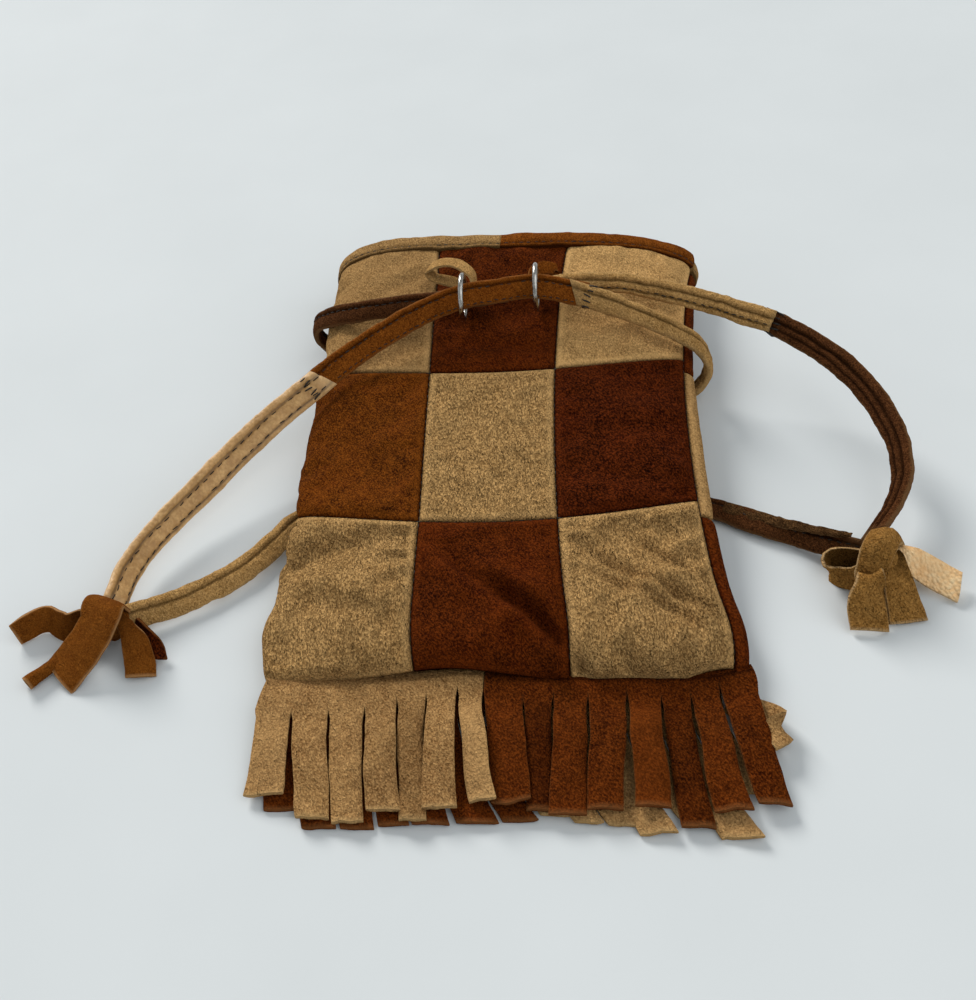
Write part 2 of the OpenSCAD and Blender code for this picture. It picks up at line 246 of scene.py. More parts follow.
# ---- Materials ----
class Shader:
    """A small helper that builds a node material."""

    def __init__(self, name, **finish):
        """A new material with one surface node, whose plain settings are given by name."""
        self.material = bpy.data.materials.new(name)
        self.material.use_nodes = True
        self.tree = self.material.node_tree
        self.tree.nodes.clear()
        output = self.tree.nodes.new("ShaderNodeOutputMaterial")
        self.surface = self.tree.nodes.new("ShaderNodeBsdfPrincipled")
        self.tree.links.new(self.surface.outputs[0], output.inputs[0])
        for key, value in finish.items():
            self.surface.inputs[key.replace("_", " ")].default_value = value
        self.place = self.node("ShaderNodeTexCoord").outputs["Object"]

    def node(self, kind, inputs=(), **settings):
        """A new node with its settings, and with each input linked or set."""
        made = self.tree.nodes.new(kind)
        for key, value in settings.items():
            setattr(made, key, value)
        for key, value in dict(inputs).items():
            if isinstance(value, bpy.types.NodeSocket):
                self.tree.links.new(value, made.inputs[key])
            elif value is not None:
                made.inputs[key].default_value = value
        return made

    def stretched(self, stretch, turn):
        """Object coordinates turned about Z and drawn out one way, for a nap that lies one way."""
        made = self.node("ShaderNodeMapping", {0: self.place}, vector_type="TEXTURE")
        made.inputs["Rotation"].default_value = (0, 0, turn)
        made.inputs["Scale"].default_value = (1, stretch, 1)
        return made.outputs[0]

    def noise(self, size, detail=3, roughness=0.55, distortion=0.0, where=None):
        """Noise with lumps of about that size, in millimetres."""
        made = self.node("ShaderNodeTexNoise", {
            "Vector": where or self.place, "Scale": 1 / (size * MM), "Detail": detail,
            "Roughness": roughness, "Distortion": distortion,
        })
        return made.outputs["Fac"]

    def cells(self, size, where):
        """Distances in a cell pattern, for pebbled grain."""
        return self.node("ShaderNodeTexVoronoi", {
            "Vector": where, "Scale": 1 / (size * MM), "Randomness": 0.9,
        }).outputs["Distance"]

    def levels(self, value, low, high):
        """The value spread so that low becomes 0 and high becomes 1."""
        return self.node("ShaderNodeMapRange", {
            "Value": value, "From Min": low, "From Max": high,
        }).outputs["Result"]

    def between(self, value, low, high):
        """The value with 0 turned into low and 1 into high."""
        return self.node("ShaderNodeMapRange", {
            "Value": value, "To Min": low, "To Max": high,
        }).outputs["Result"]

    def math(self, operation, a, b):
        """The result of a sum on two values."""
        return self.node("ShaderNodeMath", {0: a, 1: b}, operation=operation).outputs[0]

    def mix(self, share, a, b):
        """A colour between two others, which may be sockets or plain numbers."""
        made = self.node("ShaderNodeMix", data_type="RGBA")
        for key, value in {0: share, 6: a, 7: b}.items():
            if isinstance(value, bpy.types.NodeSocket):
                self.tree.links.new(value, made.inputs[key])
            else:
                made.inputs[key].default_value = value if key == 0 else (*value, 1)
        return made.outputs[2]

    def value(self, name):
        """A number kept on each point of the mesh."""
        return self.node("ShaderNodeAttribute", attribute_name=name).outputs["Fac"]

    def bump(self, height, depth, under=None):
        """A bump of that depth in millimetres, on top of another."""
        return self.node("ShaderNodeBump", {
            "Strength": 1.0, "Distance": depth * MM, "Height": height, "Normal": under,
        }).outputs[0]

    def finish(self, colour=None, roughness=None, normal=None):
        """Links what was made to the surface and gives back the material."""
        for key, value in {"Base Color": colour, "Roughness": roughness, "Normal": normal}.items():
            if value is not None:
                self.tree.links.new(value, self.surface.inputs[key])
        return self.material


def suede(name, deep, base, light, raw,
          nap=0.9, turn=0.6, fluff=1.0, contrast=1.0, rubbed=18.0, nap_shade=0.62, combed=1.5):
    """Napped suede: rubbed clouds of tone, a nap that lies one way with painted highlights and painted
    shade in its speckle, painted shade in grooves, painted highlights and pale cut edges.
    """
    s = Shader(name, Roughness=0.96, Sheen_Weight=0.015, Sheen_Roughness=0.5, Specular_IOR_Level=0.02)
    s.surface.inputs["Sheen Tint"].default_value = (*light, 1)
    lie = s.stretched(combed, turn)
    fur = s.noise(nap * 0.46, 2, 0.5, 0.5, lie)
    tufts = s.noise(nap * 1.9, 3, 0.6, 0.8, lie)
    clouds = s.levels(s.noise(rubbed, 4, 0.6, 0.6), 0.36, 0.66)
    smears = s.levels(s.noise(rubbed * 0.28, 3, 0.6, 1.0, lie), 0.34, 0.72)
    tone = s.mix(clouds, deep, base)
    tone = s.mix(s.math("MULTIPLY", smears, 0.5), tone, light)
    hairs = s.math("ADD", s.math("MULTIPLY", fur, 0.88), s.math("MULTIPLY", tufts, 0.12))
    shade = s.levels(hairs, 0.5 - 0.13 / contrast, 0.5 + 0.13 / contrast)
    # painted highlights on the tips of the nap, over its own grain
    tone = s.mix(s.math("MULTIPLY", shade, 0.5), tone, [c * 1.25 for c in light])
    # painted shade between the hairs of the nap, over its own grain
    dark = [c * 0.3 for c in deep]
    tone = s.mix(s.math("MULTIPLY", s.math("SUBTRACT", 1.0, shade), nap_shade), tone, dark)
    # painted highlight, from the pale value kept on each point
    tone = s.mix(s.math("MULTIPLY", s.value("pale"), 0.5), tone, [c * 1.1 for c in light])
    # painted shade, from the groove value kept on each point
    tone = s.mix(s.value("groove"), tone, [c * 0.25 for c in deep])
    tone = s.mix(s.math("MULTIPLY", s.value("edge"), 0.85), tone, raw)
    low = s.bump(tufts, 0.75 * fluff)
    return s.finish(tone, None, s.bump(fur, 0.4 * fluff, low))


def smooth_leather(name, deep, base, light, raw, pebble=0.75, depth=0.12):
    """Grain-side leather: small pebbles with creases between them, a soft gloss, rubbed high spots and
    painted shade in its folds.
    """
    s = Shader(name, Roughness=0.5, Specular_IOR_Level=0.45, Coat_Weight=0.06, Coat_Roughness=0.4)
    pebbles = s.cells(pebble, s.stretched(1.4, 0.5))
    folds = s.noise(3.2, 4, 0.6, 1.4)
    clouds = s.levels(s.noise(9.0, 4, 0.6, 0.8), 0.32, 0.7)
    tone = s.mix(clouds, deep, base)
    tone = s.mix(s.math("MULTIPLY", s.levels(folds, 0.4, 0.7), 0.6), tone, light)
    tone = s.mix(s.math("MULTIPLY", s.levels(pebbles, 0.35, 0.75), 0.4), tone, deep)
    # painted shade, from the groove value kept on each point
    tone = s.mix(s.value("groove"), tone, [c * 0.25 for c in deep])
    tone = s.mix(s.math("MULTIPLY", s.value("edge"), 0.6), tone, raw)
    rough = s.between(folds, 0.42, 0.66)
    low = s.bump(folds, 0.25)
    return s.finish(tone, rough, s.bump(s.math("SUBTRACT", 1.0, pebbles), depth, low))


def thread(name, colour):
    """Waxed thread: tight twisted strands with a slight shine."""
    s = Shader(name, Roughness=0.6, Specular_IOR_Level=0.4)
    twist = s.noise(0.35, 2, 0.5, 0.4)
    tone = s.mix(s.levels(twist, 0.35, 0.65), [c * 0.5 for c in colour], colour)
    return s.finish(tone, None, s.bump(twist, 0.08))


def nickel_wire(name):
    """Nickel-plated wire: bright, with faint drawing marks and dull spots."""
    s = Shader(name, Metallic=1.0, Roughness=0.2)
    marks = s.noise(1.2, 4, 0.6, 0.5)
    tone = s.mix(s.levels(marks, 0.35, 0.7), (0.30, 0.285, 0.26), (0.56, 0.54, 0.50))
    rough = s.between(marks, 0.12, 0.34)
    return s.finish(tone, rough, s.bump(s.noise(0.6, 2), 0.002))


def plain_floor(name):
    """A pale matt surface with faint clouds."""
    s = Shader(name, Roughness=0.7, Specular_IOR_Level=0.12)
    tone = s.mix(s.noise(60, 3), (0.645, 0.675, 0.68), (0.705, 0.735, 0.74))
    return s.finish(tone)


RAW_TAN = (0.52, 0.33, 0.14)
RAW_BROWN = (0.16, 0.06, 0.015)
TAN = suede(
    "tan_suede_nap", (0.29, 0.152, 0.050), (0.38, 0.206, 0.071), (0.54, 0.32, 0.125),
    RAW_TAN, nap=0.8, turn=0.2, fluff=1.3, contrast=0.9, nap_shade=0.5,
)
TAN_PLUSH = suede(
    "tan_suede_plush", (0.34, 0.180, 0.058), (0.43, 0.233, 0.079), (0.64, 0.385, 0.15),
    RAW_TAN, nap=0.86, turn=0.15, fluff=2.5, contrast=1.3, nap_shade=0.55, combed=2.1,
)
# painted light: a brighter copy of the tan suede for the well-lit top right patch
TAN_LIT = suede(
    "tan_suede_lit", (0.43, 0.232, 0.078), (0.56, 0.312, 0.111), (0.76, 0.457, 0.177),
    RAW_TAN, nap=0.8, turn=0.2, fluff=1.3, contrast=0.9, nap_shade=0.5,
)
TAN_STRAP = suede(
    "tan_suede_strap", (0.30, 0.15, 0.038), (0.52, 0.275, 0.085), (0.72, 0.43, 0.165),
    RAW_TAN, nap=0.7, fluff=1.2, rubbed=9.0, contrast=0.7, nap_shade=0.5,
)
BROWN = suede(
    "brown_suede_nap", (0.014, 0.0014, 0.0005), (0.062, 0.0078, 0.0012), (0.175, 0.036, 0.0044),
    RAW_BROWN, nap=0.8, fluff=1.0, contrast=1.1, rubbed=13.0, nap_shade=0.5,
)
# a warmer, brighter copy of the brown suede: its warmer rubbed tone is its own, part of its brightness is
# painted light on the lit middle left patch
BROWN_WARM_LIT = suede(
    "brown_suede_warm_lit", (0.022, 0.0031, 0.0008), (0.096, 0.0174, 0.0019), (0.275, 0.078, 0.0080),
    RAW_BROWN, nap=0.7, fluff=0.6, contrast=0.9, rubbed=8.5,
)
# painted shade: a darker copy of the brown suede for the shaded middle right patch and the shadowed short
# tail of the left knot
BROWN_SHADED = suede(
    "brown_suede_shaded", (0.011, 0.0012, 0.0005), (0.048, 0.0058, 0.0013), (0.140, 0.0265, 0.0042),
    RAW_BROWN, nap=0.9, fluff=1.0, contrast=1.2, rubbed=15.0,
)
BROWN_STRAP = suede(
    "brown_suede_strap", (0.090, 0.018, 0.002), (0.205, 0.050, 0.0055), (0.34, 0.105, 0.013),
    (0.30, 0.13, 0.04), nap=0.6, fluff=0.6, rubbed=7.0, contrast=0.8,
)
DARK_STRAP = suede(
    "dark_suede_strap", (0.036, 0.0115, 0.0042), (0.080, 0.0265, 0.0088), (0.16, 0.060, 0.020),
    (0.26, 0.14, 0.06), nap=0.6, fluff=0.9, rubbed=6.0, contrast=0.9,
)
OLIVE = suede(
    "olive_suede_knot", (0.20, 0.083, 0.015), (0.40, 0.178, 0.038), (0.58, 0.30, 0.082),
    (0.60, 0.40, 0.20), nap=0.9, fluff=2.2, rubbed=7.0, contrast=0.6, nap_shade=0.5,
)
RUST = suede(
    "rust_suede_knot", (0.085, 0.019, 0.0020), (0.190, 0.052, 0.0055), (0.31, 0.105, 0.015),
    (0.50, 0.27, 0.11), nap=0.6, fluff=0.8, rubbed=8.0, contrast=0.6, nap_shade=0.5,
)
SMOOTH = smooth_leather(
    "smooth_tan_leather", (0.37, 0.19, 0.055), (0.60, 0.325, 0.112), (0.82, 0.51, 0.205),
    (0.80, 0.56, 0.30),
)
# its own tan, pushed near full brightness as painted light on the lit smooth tail
PEBBLED = smooth_leather(
    "smooth_tan_pebbled", (0.80, 0.45, 0.18), (1.0, 0.68, 0.33), (1.0, 0.80, 0.48),
    (0.42, 0.28, 0.14), pebble=0.8, depth=0.5,
)
PLY = suede(
    "dark_suede_frayed", (0.045, 0.018, 0.006), (0.095, 0.042, 0.014), (0.18, 0.09, 0.034),
    (0.25, 0.14, 0.06), nap=0.6, fluff=1.2, rubbed=5.0,
)
FRINGE_TAN = suede(
    "tan_suede_fringe", (0.215, 0.092, 0.026), (0.42, 0.22, 0.075), (0.62, 0.365, 0.145),
    RAW_TAN, nap=0.8, fluff=1.5, rubbed=11.0, contrast=0.8, nap_shade=0.5,
)
FRINGE_BROWN = suede(
    "brown_suede_fringe", (0.024, 0.0034, 0.0009), (0.080, 0.0132, 0.0018), (0.205, 0.048, 0.0062),
    (0.21, 0.085, 0.028), nap=0.8, fluff=0.9, rubbed=10.0, contrast=0.9,
)
THREAD = thread("dark_thread", (0.02, 0.014, 0.010))
NICKEL = nickel_wire("nickel_wire")


PATCH_MATERIALS = {
    # front patches whose suede differs from the rest, by row and column; among them brighter and darker
    # copies paint light and shade on single patches
    (0, 0): TAN_PLUSH, (0, 2): TAN_PLUSH, (1, 1): TAN_PLUSH, (2, 2): TAN_LIT,
    (1, 0): BROWN_WARM_LIT, (1, 2): BROWN_SHADED,
}


# ---- Camera, light and floor ----
# place in metres and angles in radians
CAMERA_PLACE = (0.02203, -0.21858, 0.22564)
CAMERA_LENS = 43.75
CAMERA_DIP = 0.7877
CAMERA_ROLL = -0.1117
CAMERA_HEADING = math.radians(-7.5)
FLOOR_REACH = 3000
ROOM_COLOUR = (0.92, 0.97, 1.0, 1)
ROOM_STRENGTH = 0.42
LIGHTS = {
    # name: the direction that it comes from, its spread, its power and its colour
    "window": ((-0.46, 0.66, 0.48), 0.4, 2.55, (1.0, 0.985, 0.96)),
    "room_side": ((0.75, -0.35, 0.8), 1.2, 0.95, (0.97, 0.985, 1.0)),
}


def add_camera():
    """Looks down at the pouch from its fringe end."""
    data = bpy.data.cameras.new("camera")
    data.sensor_width = 36
    data.lens = CAMERA_LENS
    camera = bpy.data.objects.new("camera", data)
    c, s = math.cos(CAMERA_HEADING), math.sin(CAMERA_HEADING)
    level_right = np.array([c, s * -1, 0])
    level_ahead = np.array([s, c, 0])
    down = np.array([0, 0, -1])
    ahead = level_ahead * math.cos(CAMERA_DIP) + down * math.sin(CAMERA_DIP)
    low = -level_ahead * math.sin(CAMERA_DIP) + down * math.cos(CAMERA_DIP)
    right = math.cos(CAMERA_ROLL) * level_right - math.sin(CAMERA_ROLL) * low
    low = math.sin(CAMERA_ROLL) * level_right + math.cos(CAMERA_ROLL) * low
    stand(camera, right, -low, -ahead, CAMERA_PLACE)
    bpy.context.scene.camera = camera


def add_light(name, place, spread, power, colour):
    """Even daylight from one direction, with soft shadows."""
    data = bpy.data.lights.new(name, "SUN")
    data.angle = spread
    data.energy = power
    data.color = colour
    z = unit(np.array(place, float))
    x = unit(np.cross([0.0, 1.0, 0.1], z))
    stand(bpy.data.objects.new(name, data), x, np.cross(z, x), z, place)


def add_surroundings():
    """Plain pale floor, soft daylight from behind and a dim white room."""
    corners = [(-1, -1, 0), (1, -1, 0), (1, 1, 0), (-1, 1, 0)]
    floor = make_object("floor", np.multiply(corners, FLOOR_REACH), [range(4)], plain_floor("plain_floor"))
    world = bpy.data.worlds.new("room")
    world.use_nodes = True
    background = world.node_tree.nodes["Background"]
    background.inputs["Color"].default_value = ROOM_COLOUR
    background.inputs["Strength"].default_value = ROOM_STRENGTH
    bpy.context.scene.world = world
    for name, light in LIGHTS.items():
        add_light(name, *light)
    bpy.context.scene.view_settings.view_transform = "Standard"


add_camera()
add_surroundings()


# ---- Drawstrings ----
# the routes of the CAD source: each row is a point and the direction of the strap's width
ROUTES = {
    "left_smooth_strap": [
        (-95.8, -32.5, 6, -1, 0, 1), (-95.3, -26, 6.2, -1, 0, 1), (-92.5, -17, 6.8, -1, 0, 1),
        (-87.5, -8, 7.8, -1, 0, 1), (-80.5, 2, 9.5, -1, 0.4, 1), (-73, 12, 12, -1, 0.6, 1),
        (-64.5, 21.5, 15, -1, 0.8, 1), (-54.4, 30.3, 18.5, -0.8, 1, 1),
    ],
    "left_brown_strap": [
        (-53.8, 30.9, 18.8, -0.8, 1, 1), (-46, 37.5, 21.5, -0.6, 1, 1), (-36.5, 43.5, 24.5, -0.4, 1, 1),
        (-26, 49, 27.5, -0.2, 1, 1), (-14.5, 53.2, 29.6, 0, 1, 1), (-4.5, 55, 29.9, 0, 1, 1),
        (5.5, 56.2, 30, 0, 1, 1), (18, 54, 28.6, 0.1, 1, 1),
    ],
    "left_tan_strap": [
        (18.7, 53.7, 28.3, 0.1, 1, 1), (26, 51, 27, 0.2, 1, 1), (34.5, 48, 24.8, 0.2, 1, 0.8),
        (42.5, 45.5, 21.8, 0.2, 1, 0.6), (49, 44.5, 17.5, 0.1, 1, 0.3), (52, 44, 12, 0, 1, 0),
        (51.5, 43.5, 7, 0, 1, 0), (48.5, 42.5, 3, 0, 1, -0.1), (42, 39.5, 1.2, -0.4, 1, 0),
        (26, 32.5, 1.1, -0.4, 1, 0), (8, 24.5, 1.1, -0.4, 1, 0), (-10, 16.5, 1.1, -0.4, 1, 0),
        (-28, 8.5, 1.1, -0.4, 1, 0), (-46, 1, 1.2, -0.5, 1, 0.1), (-55.5, -4, 2, -0.8, 1, 0.3),
        (-60, -12, 2.8, -1, 0.6, 0.5), (-66, -20.5, 3, -1, 0.9, 0.6), (-75, -28.5, 3.2, -0.8, 1, 0.7),
        (-84, -34, 3.6, -0.5, 1, 0.8), (-90.3, -37, 4.2, -0.4, 1, 0.8),
    ],
    "right_dark_strap": [
        (88.5, -15, 8, 1, 0, 0.8), (92, -10, 8.8, 1, -0.2, 0.8), (95.5, -2, 10.2, 1, 0, 0.8),
        (96.5, 7.5, 12, 1, 0.1, 0.9), (94.5, 17.5, 14, 1, 0.3, 0.9), (90.5, 27, 16, 1, 0.6, 1),
        (84.5, 35.5, 18, 1, 1, 1), (76.8, 42.5, 20, 0.6, 1, 1), (68.4, 47.8, 21.9, 0.5, 1, 1),
    ],
    "right_tan_strap": [
        (67.7, 48.1, 22.1, 0.5, 1, 1), (59, 51.5, 23.5, 0.4, 1, 1), (50, 54.5, 25, 0.3, 1, 1),
        (40.5, 57, 26.5, 0.2, 1, 1), (30, 59, 27.8, 0.1, 1, 1), (18, 59.6, 28.4, 0, 1, 1),
        (5.5, 57.8, 28.4, 0, 1, 1), (-2, 56.8, 28.2, 0, 1, 1),
    ],
    "right_brown_strap": [
        (-2.5, 56.7, 28.2, 0, 1, 1), (-14.5, 54.8, 28, 0, 1, 1), (-24, 54.4, 27, 0, 1, 1),
        (-34, 55.2, 25.6, -0.1, 1, 1), (-44, 57, 23, -0.2, 1, 0.8), (-53.5, 60.5, 18.8, -0.2, 1, 0.5),
        (-59.5, 64.5, 13, -0.1, 1, 0.2), (-60, 66.5, 7, 0, 1, 0), (-56, 66, 2.6, 0.3, 1, 0),
        (-47, 60, 1.2, 0.6, 1, 0), (-32, 50, 1.2, 0.6, 1, 0), (-17, 40.4, 2, 0.6, 1, 0),
        (-4, 32, 3.5, 0.6, 1, 0), (8, 24.4, 3.5, 0.6, 1, 0), (20, 16.8, 3.5, 0.6, 1, 0),
        (32, 9, 2, 0.6, 1, 0), (44, 1.5, 1.2, 0.6, 1, 0), (52.5, -3.5, 2, 0.5, 1, 0.2),
        (60, -8, 2.8, 0.4, 1, 0.6), (69, -12.5, 3, 0.3, 1, 0.8), (79, -18, 4.4, 0.4, 1, 0.8),
    ],
}
STRAP_STEP = 0.7


def strap_section(folds, slim):
    """Sections of a folded strap, one for each slimness, with a ridge and a groove at each fold."""
    slim = np.reshape(slim, (-1, 1))
    half, rise = slim * STRAP_WIDTH / 2, STRAP_THICKNESS / 2 * (1.5 - 0.5 * slim)
    spot = np.sin(np.linspace(np.pi / 2, -np.pi / 2, 31))
    swell = np.maximum(0, 1 - np.abs(spot) ** 3.2) ** 0.42
    across, top = half * spot, rise * swell
    for place, depth in folds:
        top = top - depth * bell((across - place) / 0.42) + 0.3 * depth * bell((across - place - 1.0) / 0.6)
    across = np.concatenate([across, across[:, -2:0:-1]], 1)
    top = np.concatenate([top, -top[:, -2:0:-1]], 1)
    return np.stack([across, top], -1)


# how far a stitch stands out at even places along it, in thread radii
STITCH_ARCH = np.array([-0.9, 0.55, 0.9, 0.55, -0.9])
JOIN_STITCHES = 5
JOIN_POINTS = 7
JOIN_THREAD = 0.2


def thread_section(radius):
    """The round section of a thread."""
    turn = np.linspace(0, 2 * np.pi, 7)[:-1]
    return radius * np.stack([np.cos(turn), np.sin(turn)], -1)


def dashes(path, side, offsets, pitch, length, radius, lift, wander=0.0, skip=0.0, face=1):
    """Stitches: short bent threads that dive in at both ends, in rows at those places across one face."""
    reach = reach_along(path)
    _, across, out = frames(path, side)
    section = thread_section(radius)
    parts = []
    for offset in offsets:
        for start in np.arange(pitch / 2, reach[-1] - length, pitch):
            if random.random() < skip:
                continue
            q = np.linspace(start, start + length * random.uniform(0.85, 1.1), len(STITCH_ARCH))
            place, sideways, upward = (
                np.stack([np.interp(q, reach, values[:, i]) for i in range(3)], -1)
                for values in (path, across, out)
            )
            slip = offset + random.uniform(-wander, wander)
            slip = slip + np.linspace(-1, 1, len(STITCH_ARCH)) * random.uniform(-1, 1) * wander
            rise = lift + STITCH_ARCH * radius
            line = place + sideways * slip[:, None] + upward * face * rise[:, None]
            parts.append(tube(line, sideways, section))
    return merge(parts)


def roughen(verts, lowest, *layers):
    """Uneven leather: points pushed about by layers of noise (size, depth, seed), none below the lowest."""
    for size, depth, seed in layers:
        verts = verts + depth * np.stack([noise(verts, size, seed + k) for k in range(3)], -1)
    verts[:, 2] = np.maximum(verts[:, 2], lowest)
    return verts


STRAPS = {
    # name: material, slot, fold lines as (place across, depth), stitch rows, stitch pitch, uneven depth,
    # and widths at even places along the strap, as shares of the full width
    "left_smooth_strap": (
        SMOOTH, "smooth_tan", [(1.4, 0.62), (-2.55, 0.2)], [0.95, -2.3], 2.9, 0.16,
        [0.84, 0.95, 1.04, 1.04, 1.0],
    ),
    "left_brown_strap": (
        BROWN_STRAP, "brown_suede", [(1.7, 0.5)], [1.3, -2.6], 2.0, 0.18,
        [1.0, 0.92, 0.9, 0.9],
    ),
    "left_tan_strap": (
        TAN_STRAP, "tan_suede", [(0.9, 0.5)], [], 2.4, 0.26,
        [0.86, 0.74, 0.7, 0.7, 0.72, 0.74, 0.78, 0.88, 0.92, 0.84],
    ),
    "right_dark_strap": (
        DARK_STRAP, "dark_brown_suede", [(0.5, 0.75), (-1.4, 0.3)], [], 2.4, 0.24,
        [0.72, 0.78, 0.9, 0.92, 0.84],
    ),
    "right_tan_strap": (
        TAN_STRAP, "tan_suede", [(0.6, 0.5), (-1.6, 0.3)], [-1.4], 2.2, 0.26,
        [0.84, 0.8, 0.74, 0.72],
    ),
    "right_brown_strap": (DARK_STRAP, "dark_brown_suede", [(1.1, 0.5)], [0.8], 2.2, 0.2, [0.8]),
}
# sizes of a strap's unevenness, and how much of its depth each takes
STRAP_LUMPS = ((3.5, 1.0), (1.3, 0.5), (0.8, 0.35))
# half width of the painted shade along a strap's folds
FOLD_GROOVE = 0.32
WORN_EDGE = 0.6
STITCH_LIFT = STRAP_THICKNESS / 2 - 0.12
STRAP_BLENDS = {
    # straps that bend as a knot is pulled out: its body, and where the bend starts and ends, in metres
    "left_smooth_strap": ("left_pull", (-0.054, 0.030, 0.018), (-0.0955, -0.030, 0.006)),
    "left_tan_strap": ("left_pull", (-0.055, -0.004, 0.002), (-0.090, -0.037, 0.004)),
    "right_dark_strap": ("right_pull", (0.068, 0.048, 0.022), (0.0885, -0.015, 0.008)),
    "right_brown_strap": ("right_pull", (0.052, -0.003, 0.002), (0.079, -0.018, 0.004)),
}


def hang(obj, name):
    """Lets a strap, or what is sewn to it, ride on the pouch; for those in STRAP_BLENDS it only bakes their
    placing into their points.
    """
    if name in STRAP_BLENDS:
        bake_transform(obj)
    else:
        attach(obj, "pouch")


STRAP_ENDS = {
    # for the first and the last end: how far it laps on, how slanted it is cut, how far it is lifted
    "left_smooth_strap": ((3.5, 0, 0), (3.4, -1.6, 0.5)),
    "left_brown_strap": ((1.6, 0, -0.6), (1.5, 0, -0.6)),
    "left_tan_strap": ((3.2, -2.4, 0.6), (4.5, 0, 0)),
    "right_dark_strap": ((5.0, 0, 0), (2.0, 0.8, 0.5)),
    "right_tan_strap": ((1.5, 0, -0.5), (0.8, 0.6, 0)),
    "right_brown_strap": ((0, 0, 0), (6.0, 0, 0)),
}
END_REACH = 7.0
# straps whose end is sewn down with crude joining stitches: 0 for the first end, -1 for the last
JOINS = {"left_smooth_strap": -1, "left_tan_strap": 0, "right_dark_strap": -1}


def fade_from_ends(reach, first, last):
    """A value along a strap that is one thing at its first end, another at its last and nothing between."""
    return first * smooth(1 - reach / END_REACH) + last * smooth(1 - (reach[-1] - reach) / END_REACH)


def strap_path(name):
    """Dense path and width directions of a strap, with its laps and lifted ends."""
    line = follow(ROUTES[name], STRAP_STEP)
    path, side = line[:, :3], line[:, 3:]
    (first_lap, _, first_lift), (last_lap, _, last_lift) = STRAP_ENDS[name]
    along, _, _ = frames(path, side)
    if first_lap:
        path = np.concatenate([[path[0] - along[0] * first_lap], path])
        side = np.concatenate([side[:1], side])
    if last_lap:
        path = np.concatenate([path, [path[-1] + along[-1] * last_lap]])
        side = np.concatenate([side, side[-1:]])
    _, _, out = frames(path, side)
    reach = reach_along(path)
    return path + out * fade_from_ends(reach, first_lift, last_lift)[:, None], side, reach


def join_stitches(path, side, end, face):
    """Big uneven stitches, on one face, that hold one strap's end on the next strap."""
    along, across, out = frames(path, side)
    at = 3 if end == 0 else len(path) - 4
    section = thread_section(JOIN_THREAD)
    parts = []
    for place in np.linspace(-0.8, 0.8, JOIN_STITCHES):
        lean = random.uniform(-0.9, 0.9)
        q = np.linspace(-1, 1, JOIN_POINTS)[:, None]
        line = path[at] + across[at] * (place * STRAP_WIDTH / 2 + 0.4 * lean * q)
        line = line + along[at] * (q * random.uniform(1.1, 1.7) + lean * 0.5)
        line = line + face * out[at] * (STRAP_THICKNESS / 2 + 0.25 - 0.75 * q * q - 0.5 * abs(place) ** 3)
        parts.append(tube(line, np.repeat(across[at:at + 1], JOIN_POINTS, 0), section))
    return merge(parts)


def slanted(verts, name, path, side, section, reach):
    """A strap's points with both ends cut at their slants."""
    along, _, _ = frames(path, side)
    (_, first_skew, _), (_, last_skew, _) = STRAP_ENDS[name]
    slant = fade_from_ends(reach, first_skew, last_skew)
    shift = slant[:, None] * section[..., 0] / (STRAP_WIDTH / 2)
    return (verts.reshape(len(path), -1, 3) + along[:, None] * shift[..., None]).reshape(-1, 3)


def strap_shade_and_wear(section, folds, slim):
    """How deep in a fold each point of a strap is, which paints shade along its folds, and how near a worn
    edge it is.
    """
    groove = np.zeros(section.shape[:2])
    for place, _ in folds:
        groove = np.maximum(groove, bell((section[..., 0] - place) / FOLD_GROOVE))
    edge = WORN_EDGE * bell((np.abs(section[..., 0]) - slim[:, None] * STRAP_WIDTH / 2) / 0.3)
    edge[[0, -1]] = WORN_EDGE
    return {"groove": groove.ravel() * 0.85, "edge": edge.ravel()}


def add_strap_stitches(name, path, side):
    """The rows of stitches on both faces of a strap, and those that join it to the next one."""
    _, slot, _, rows, pitch, _, _ = STRAPS[name]
    sewn = []
    for face in (1, -1):
        if rows:
            sewn.append(dashes(
                path, side, rows, pitch, length=pitch * 0.55, radius=0.13, lift=STITCH_LIFT,
                wander=0.14, skip=0.06, face=face,
            ))
        if name in JOINS:
            sewn.append(join_stitches(path, side, JOINS[name], face))
    if not sewn:
        return []
    verts, faces = merge(sewn)
    stitches = make_object(name + "_stitches", verts, faces, THREAD)
    hang(stitches, name)
    return [stitches]


def add_strap(name):
    """One folded strap along its route, with its stitches as a piece of their own."""
    material, slot, folds, _, _, uneven, widths = STRAPS[name]
    path, side, reach = strap_path(name)
    slim = np.interp(reach / reach[-1], np.linspace(0, 1, len(widths)), widths)
    section = strap_section(folds, slim)
    verts, faces = tube(path, side, section)
    verts = slanted(verts, name, path, side, section, reach)
    seed = list(STRAPS).index(name) * 11
    lumps = [(size, uneven * share, seed + int(10 * size)) for size, share in STRAP_LUMPS]
    verts = roughen(verts, 0.04, *lumps)
    strap = make_object(name, verts, faces, material, attributes=strap_shade_and_wear(section, folds, slim))
    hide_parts(name)
    hang(strap, name)
    return strap, path, add_strap_stitches(name, path, side)


straps = {name: add_strap(name) for name in ROUTES}


# ---- Ribbons: tabs, tails and the knots' wraps ----
RIBBON_STEP = 0.8
RIBBON_COLUMNS = 9
TIP_EDGE = 0.8
SHARP_ANGLE = 60
ROLL_TURN = math.radians(430)
ROLL_POINTS = 30


